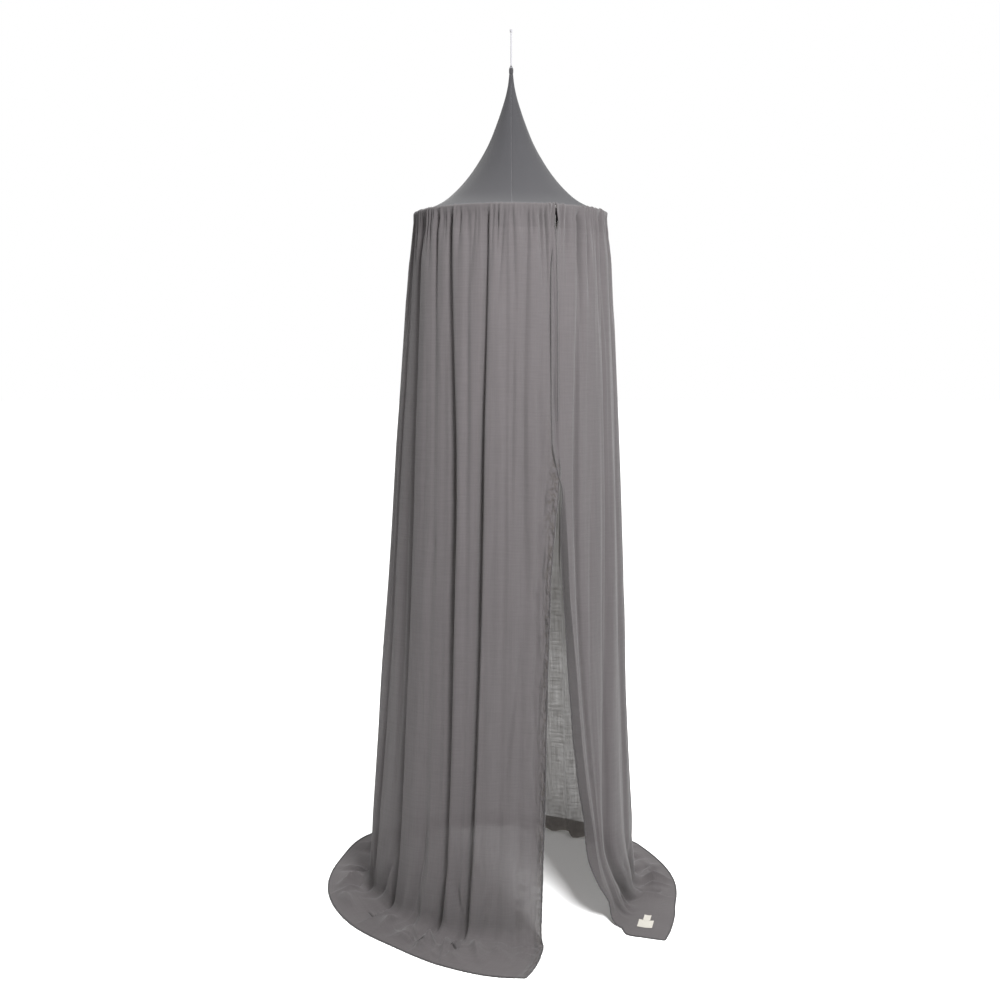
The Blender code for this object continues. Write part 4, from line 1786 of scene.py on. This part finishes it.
    def wall_radius(self, turns: np.ndarray, drop: np.ndarray) -> np.ndarray:
        """Radius of the wall's crests, at a share of the way from the hoop to the floor."""
        top = HOOP_RADIUS + self.wrap_radius + self.gather_bulge
        return top + (self.station(turns, "foot") - top) * drop**self.wall_bow

    def rows(self) -> CurtainRows:
        """All the sheet's rows, from the seam on the hoop to the hem.

        Returns:
            The points and their places on the cut.
        """
        share = self.share
        made = [self.wrap_row(share, angle) for angle in np.linspace(90.0, 0.0, self.wrap_rows)]
        parts = np.linspace(0.0, 1.0, self.wall_rows + 1)[1:] ** self.wall_row_crowding
        made += [self.wall_row(share, part) for part in parts]
        made += [self.bend_row(share, part) for part in np.linspace(0.0, 1.0, self.bend_rows + 1)[1:]]
        made += [self.skirt_row(share, part) for part in np.linspace(0.0, 1.0, self.skirt_rows + 1)[1:]]
        points = np.array(made)
        down = np.linalg.norm(np.diff(points, axis=0), axis=2).mean(axis=1)
        along = np.concatenate(([0.0], np.cumsum(down)))
        flat = np.empty((*points.shape[:2], 2))
        flat[..., 0] = share[None] * self.cut_width
        flat[..., 1] = along[:, None]
        return CurtainRows(points, flat)

    def wrap_row(self, share: np.ndarray, angle: float) -> np.ndarray:
        """Over the hoop: the pleats start shallow in the seam and stay clear of the tube.

        Args:
            share: The columns' places across the cut, 0 to 1.
            angle: How far round the tube the row lies, 90 on top and 0 outside, in degrees.

        Returns:
            The row's points.
        """
        around = math.radians(angle)
        turns = self.column_turns(0.0)
        depth = self.fold_depths(turns, 0.0)[0] + self.furrow_depths(share, 0.0)
        depth = limited(depth, self.pleat_limit) * (0.35 + 0.65 * math.cos(around))
        reach = self.wrap_radius + self.gather_bulge * math.cos(around) - depth
        radius = HOOP_RADIUS + reach * math.cos(around)
        return at_turn(turns, radius, HOOP_HEIGHT + reach * math.sin(around))

    def wall_row(self, share: np.ndarray, part: float) -> np.ndarray:
        """One row of the hanging wall, part of the way from the hoop to where the bend starts.

        Args:
            share: The columns' places across the cut, 0 to 1.
            part: The part of the way, 0 to 1.

        Returns:
            The row's points.
        """
        way = part * self.bend_way
        turns = self.column_turns(way)
        drop = part * (1.0 - self.station(turns, "bend_mm") * MM / HOOP_HEIGHT)
        depth, lean = self.fold_depths(turns, way)
        depth = depth + self.furrow_depths(share, way)
        below_seam = max(0.0, part * HOOP_HEIGHT - self.seam_height)
        depth = limited(depth, self.pleat_limit + self.pleat_growth * below_seam)
        depth = depth + self.dents(turns, way) + self.ripples(share, way)
        depth = depth + self.tuck(share, way) + self.curl(share, way)
        radius = self.wall_radius(turns, drop) - depth
        turns = turns + np.degrees(lean / radius)
        return at_turn(turns, radius, HOOP_HEIGHT * (1.0 - drop))

    def curl(self, share: np.ndarray, way: float) -> np.ndarray:
        """How far in the rolled right edge lies behind its crest."""
        along = np.clip((share - self.curl_share) / (1.0 - self.curl_share), 0.0, 1.0)
        return self.curl_depth * self.curled(way) * along**0.9

    def tuck(self, share: np.ndarray, way: float) -> np.ndarray:
        """How far the right edge is tucked in behind the left one, above the open doorway.

        Args:
            share: The columns' places across the cut, 0 to 1.
            way: How far down the wall or out over the floor, 0 to 2.

        Returns:
            How far in each column lies, in metres.
        """
        closed = ease(way, *self.tuck_ways[:2]) * (1.0 - ease(way, *self.tuck_ways[2:]))
        return self.tuck_depth * closed * smooth_step(share, *self.tuck_shares)

    def bend_row(self, share: np.ndarray, part: float) -> np.ndarray:
        """One row of the turn from the wall to the floor.

        Args:
            share: The columns' places across the cut, 0 to 1.
            part: The part of the bend, 0 at the wall and 1 on the floor.

        Returns:
            The row's points.
        """
        way = self.bend_way + (1.0 - self.bend_way) * part
        turns = self.column_turns(way)
        bend = self.station(turns, "bend_mm") * MM
        puff = self.station(turns, "puff_mm") * MM
        foot = self.station(turns, "foot")
        start_r = self.wall_radius(turns, 1.0 - bend / HOOP_HEIGHT)
        # Radius and height of a curve from the wall round a corner to the floor, and its direction.
        wall, corner, lying = (start_r, bend), (foot, 0.6 * puff), (foot + bend, puff)
        weights = ((1 - part) ** 2, 2 * part * (1 - part), part**2)
        radius, height = (
            sum(weight * end[k] for weight, end in zip(weights, (wall, corner, lying))) for k in (0, 1)
        )
        along = [(1 - part) * (corner[k] - wall[k]) + part * (lying[k] - corner[k]) for k in (0, 1)]
        size = np.hypot(*along)
        depth, lean = self.fold_depths(turns, way)
        depth = depth + self.furrow_depths(share, way) + self.curl(share, way)
        depth = depth + self.dents(turns, way) + self.ripples(share, 1.0) * (1 - part)
        radius = radius + depth * along[1] / size
        height = self.on_floor(height - depth * along[0] / size)
        turns = turns + np.degrees(lean / radius)
        points = at_turn(turns, radius, height)
        return self.creased(points, smooth_step(np.array(part), 0.5, 1.0))

    def skirt_row(self, share: np.ndarray, part: float) -> np.ndarray:
        """One row of the cloth that lies out over the floor, part of the way to the hem.

        Args:
            share: The columns' places across the cut, 0 to 1.
            part: The part of the way from the bend to the hem, 0 to 1.

        Returns:
            The row's points.
        """
        turns = self.column_turns(1.0 + part)
        bend = self.station(turns, "bend_mm") * MM
        puff = self.station(turns, "puff_mm") * MM
        start = self.station(turns, "foot") + bend
        radius = start + (self.station(turns, "hem") - start) * part
        depth = self.fold_depths(turns, 1.0 + part)[0]
        u = share * self.cut_width
        lay = SoftNoise(self.seed + 5)
        # Wrinkles, weaker by the bend, gone at the hem, and none where the cloth has no puff.
        wrinkle = sum(lay.ripple(kind, u, part) for kind in LYING)
        wrinkle = wrinkle * math.sin(math.pi * min(1.0, 0.25 + 0.75 * part))
        wrinkle = wrinkle * smooth_step(puff, 0.0, 8 * MM)
        height = puff * (1 - part) ** 2 * (1 + 2 * part) - depth + wrinkle
        points = at_turn(turns, radius, self.on_floor(height))
        return self.creased(points, np.array(1.0 - 0.55 * part))

    def on_floor(self, height: np.ndarray) -> np.ndarray:
        """Heights of cloth that lies on the floor where it would go through it."""
        soft = 1.2 * MM
        return 0.5 * (height + np.sqrt(height**2 + soft**2)) + 0.7 * MM

    def creased(self, points: np.ndarray, share: np.ndarray) -> np.ndarray:
        """Raises a row's points where ridges cross it and lowers them where slots do.

        Args:
            points: The row's points.
            share: The share of the creases' height that the row gets.

        Returns:
            The same points, moved.
        """
        ridges, slots = np.zeros(len(points)), np.zeros(len(points))
        for crease in CREASES:
            start = np.array((crease.x0, crease.y0))
            run = np.array((crease.x1, crease.y1)) - start
            off = points[:, :2] - start
            along = np.clip(off @ run / (run @ run), 0.0, 1.0)
            to_left = run[0] * off[:, 1] - run[1] * off[:, 0] > 0
            half = np.where(to_left, crease.left_mm, crease.right_mm) * MM
            away = np.linalg.norm(off - along[:, None] * run, axis=1) / half
            taper = np.sin(math.pi * (0.18 + 0.70 * along))
            change = self.crease_strength * crease.high_mm * MM * taper * np.exp(-(away**1.4))
            ridges, slots = np.maximum(ridges, change), np.minimum(slots, change)
        points[:, 2] = FLOOR + self.on_floor(points[:, 2] - FLOOR + (ridges + slots) * share)
        return points

    # Sewing

    def hem(self, points: np.ndarray) -> list[bpy.types.Object]:
        """The rolled hem down both front edges and round the foot, and its overlocking thread.

        Args:
            points: The sheet's points, row by row.

        Returns:
            The roll and its thread.
        """
        first = self.wrap_rows + 1
        border = np.concatenate([points[first:-1, 0], points[-1], points[-2:first:-1, -1]])
        path = resampled(border, self.overlock_pitch)
        rng = np.random.default_rng(self.seed + 9)
        path = path + rng.normal(0.0, self.hem_wander, path.shape)
        path[:, 2] = np.maximum(path[:, 2], FLOOR + self.hem_above_floor)
        radius = self.hem_radius + rng.normal(0.0, self.hem_unevenness, len(path))
        roll = tube("rolled_hem", path, radius, 8)
        t = np.arange(9) * math.tau / 9
        reach = self.overlock_reach
        loop = np.stack([0.9 * MM * np.sin(t), reach * np.cos(t), reach * np.sin(t)], axis=1)
        unit = thread_unit(loop, self.overlock_radius, 4, ring=True)
        return [roll, repeated("hem_overlock", unit, path, frames_along(path))]

    def seam_stitches(self, points: np.ndarray) -> bpy.types.Object:
        """The topstitching that holds the pleats to the crown, just outside the seam.

        Args:
            points: The sheet's points, row by row.

        Returns:
            The stitches, as one piece.
        """
        line = resampled(points[1], self.topstitch_pitch) + np.array((0.0, 0.0, 0.45 * MM))
        forward, _, _ = frames_along(line)
        up = np.tile(np.array((0.0, 0.0, 1.0)), (len(line), 1))
        thread = np.array(((-1.3, 0.0, -0.3), (-0.6, 0.0, 0.15), (0.6, 0.0, 0.15), (1.3, 0.0, -0.3))) * MM
        unit = thread_unit(thread, self.topstitch_radius, 5, ring=False)
        return repeated("seam_topstitch", unit, line, (forward, np.cross(up, forward), up))


# ---------------------------------------------------------------------------------------------
# Label


@dataclass
class Label:
    """The blank woven label near the right front corner, and the narrower tab above it."""

    centre: tuple[float, float] = (0.341, -0.224)
    turn_deg: float = -15.0
    size: tuple[float, float] = (0.038, 0.040)
    tab_size: tuple[float, float] = (0.018, 0.028)
    above_floor: float = 2.9 * MM
    tape_grid: int = 25
    seeds: tuple[int, int] = (21, 33)
    stitch_inset: float = 2.0 * MM
    stitch_pitch: float = 3.0 * MM
    stitch_radius: float = 0.2 * MM
    finish: Tape = Tape("label_tape", (0.34, 0.325, 0.290))
    thread: Yarn = Yarn("label_thread", (0.32, 0.31, 0.28), 0.15, 1500.0)

    def build(self) -> list[bpy.types.Object]:
        """Makes the label, its tab and the stitches at their edges.

        Returns:
            The label, the tab and the stitches.
        """
        tape = self.finish.material()
        tab_offset = (self.size[1] + self.tab_size[1]) / 2 + 0.3 * MM
        body = self.patch("label_body", self.size, 0.0, self.seeds[0])
        tab = self.patch("label_tab_piece", self.tab_size, tab_offset, self.seeds[1])
        settle(body, Slot.LABEL, tape, "label")
        settle(tab, Slot.LABEL, tape, "label_tab")
        sewn = self.stitches()
        settle(sewn, Slot.LABEL, self.thread.material())
        return [body, tab, sewn]

    def placed(self, local: np.ndarray) -> np.ndarray:
        """Points from the label's own axes to the canopy's.

        Args:
            local: Points across, along and above the label, in metres.

        Returns:
            The points in the scene.
        """
        angle = math.radians(self.turn_deg)
        x = self.centre[0] + local[..., 0] * math.cos(angle) - local[..., 1] * math.sin(angle)
        y = self.centre[1] + local[..., 0] * math.sin(angle) + local[..., 1] * math.cos(angle)
        return np.stack([x, y, FLOOR + self.above_floor + local[..., 2]], axis=-1)

    def patch(self, name: str, size: tuple[float, float], offset: float, seed: int) -> bpy.types.Object:
        """A piece of tape whose corners lift a little.

        Args:
            name: The piece's name.
            size: Its width and length, in metres.
            offset: How far up the label's axis its middle lies, in metres.
            seed: The seed of its unevenness.

        Returns:
            The piece.
        """
        u, v = np.meshgrid(np.linspace(-1, 1, self.tape_grid), np.linspace(1, -1, self.tape_grid))
        lift = 0.9 * MM * np.abs(u * v) ** 3 + 0.25 * MM * SoftNoise(seed).at(u * 2 + 9, v * 2 + 9)
        x = u * size[0] / 2 * (1 + 0.006 * np.sin(v * 7))
        local = np.stack([x, offset + v * size[1] / 2, lift], axis=-1)
        flat = np.stack([u * size[0] / 2, v * size[1] / 2], axis=-1)
        faces = grid_faces(self.tape_grid, self.tape_grid)[:, ::-1]
        return new_piece(name, self.placed(local), faces, flat)

    def stitches(self) -> bpy.types.Object:
        """Running stitches inside the label's edges.

        Returns:
            The stitches, as one piece.
        """
        x, y = (side / 2 - self.stitch_inset for side in self.size)
        high = 0.35 * MM
        corners = np.array(((-x, y, high), (x, y, high), (x, -y, high), (-x, -y, high), (-x, y, high)))
        runs = [resampled(corners[i : i + 2], self.stitch_pitch)[:-1] for i in range(4)]
        places = self.placed(np.concatenate(runs))
        ahead = np.roll(places, -1, axis=0) - places
        ahead[:, 2] = 0.0
        ahead /= np.linalg.norm(ahead, axis=1)[:, None]
        up = np.tile(np.array((0.0, 0.0, 1.0)), (len(places), 1))
        thread = np.array(((0.4, 0.0, -0.2), (0.9, 0.0, 0.15), (1.7, 0.0, 0.15), (2.2, 0.0, -0.2))) * MM
        unit = thread_unit(thread, self.stitch_radius, 5, ring=False)
        return repeated("label_stitch", unit, places, (ahead, np.cross(up, ahead), up))


# ---------------------------------------------------------------------------------------------
# Studio


class Box(NamedTuple):
    """A square soft box: its place, what it faces, its side in metres and its power."""

    name: str
    place: tuple[float, float, float]
    target: tuple[float, float, float]
    side: float
    watts: float


class Sky(NamedTuple):
    """Light from a wide patch of ceiling: from where, how strong, and how wide it is in degrees."""

    name: str
    round_deg: float
    up_deg: float
    strength: float
    wide_deg: float


BOXES = (
    Box("front_box", (0.62, -2.08, 0.30), (0.0, -0.1, -0.9), 0.6, 174.0),
    Box("back_box", (0.20, 2.60, -0.70), (0.0, 0.3, -1.2), 1.6, 34.0),
)
SKIES = (Sky("ceiling", 150.0, 84.0, 4.5, 60.0),)


@dataclass
class Studio:
    """A plain pale floor in a white surround, lit from above, the right front and weakly behind."""

    floor_size: float = 60.0
    ambient: float = 0.05
    floor_tone: Colour = (0.95, 0.95, 0.95)

    def build(self) -> None:
        """Makes the floor, the surround and the lights."""
        half = self.floor_size / 2
        ends = ((-half, -half), (half, -half), (half, half), (-half, half))
        corners = np.array([(x, y, FLOOR) for x, y in ends])
        floor = new_piece("studio_floor", corners, [(0, 1, 2, 3)])
        floor.data.materials.append(self.floor_material())
        self.surround()
        for box in BOXES:
            data = bpy.data.lights.new(box.name, "AREA")
            data.shape = "SQUARE"
            data.size = box.side
            data.energy = box.watts
            self.hang(data, box.place, Vector(box.target) - Vector(box.place))
        for sky in SKIES:
            data = bpy.data.lights.new(sky.name, "SUN")
            data.energy = sky.strength
            data.angle = math.radians(sky.wide_deg)
            up, round_ = math.radians(sky.up_deg), math.radians(sky.round_deg)
            ahead = (-math.cos(up) * math.sin(round_), math.cos(up) * math.cos(round_), -math.sin(up))
            self.hang(data, (0.0, 0.0, 3.0), Vector(ahead))
        bpy.context.scene.view_settings.view_transform = "Standard"

    def hang(self, data: bpy.types.Light, place: tuple[float, float, float], ahead: Vector) -> None:
        """Adds a light at this place that shines ahead, out of the camera's sight.

        Args:
            data: The light.
            place: Where it hangs, in metres.
            ahead: The way it shines.
        """
        light = bpy.data.objects.new(data.name, data)
        light.location = place
        light.rotation_euler = ahead.to_track_quat("-Z", "Y").to_euler()
        light.visible_camera = False
        bpy.context.scene.collection.objects.link(light)

    def floor_material(self) -> bpy.types.Material:
        """Plain white paper.

        Returns:
            The material, joined up.
        """
        graph = Graph("studio_paper")
        sockets = {"Base Color": (*self.floor_tone, 1.0), "Roughness": 0.95, "Specular IOR Level": 0.1}
        return graph.finish(graph.node("ShaderNodeBsdfPrincipled", {}, sockets))

    def surround(self) -> None:
        """The white world: full white to the eye, and a weaker even light."""
        world = bpy.data.worlds.new("studio_white")
        world.use_nodes = True
        nodes, links = world.node_tree.nodes, world.node_tree.links
        background = nodes["Background"]
        background.inputs["Color"].default_value = (1.0, 1.0, 1.0, 1.0)
        path = nodes.new("ShaderNodeLightPath")
        strength = nodes.new("ShaderNodeMapRange")
        strength.inputs["To Min"].default_value = self.ambient
        strength.inputs["To Max"].default_value = 1.0
        links.new(path.outputs["Is Camera Ray"], strength.inputs["Value"])
        links.new(strength.outputs["Result"], background.inputs["Strength"])
        bpy.context.scene.world = world


def main() -> None:
    """Builds the canopy's pieces in order, then the studio round them."""
    logging.basicConfig(level=logging.INFO, format="%(name)s: %(message)s")
    PhotoCamera().build()
    HangingCord().build()
    Hoop().build()
    Crown().build()
    Curtain().build()
    Label().build()
    Studio().build()


if __name__ == "__main__":
    main()
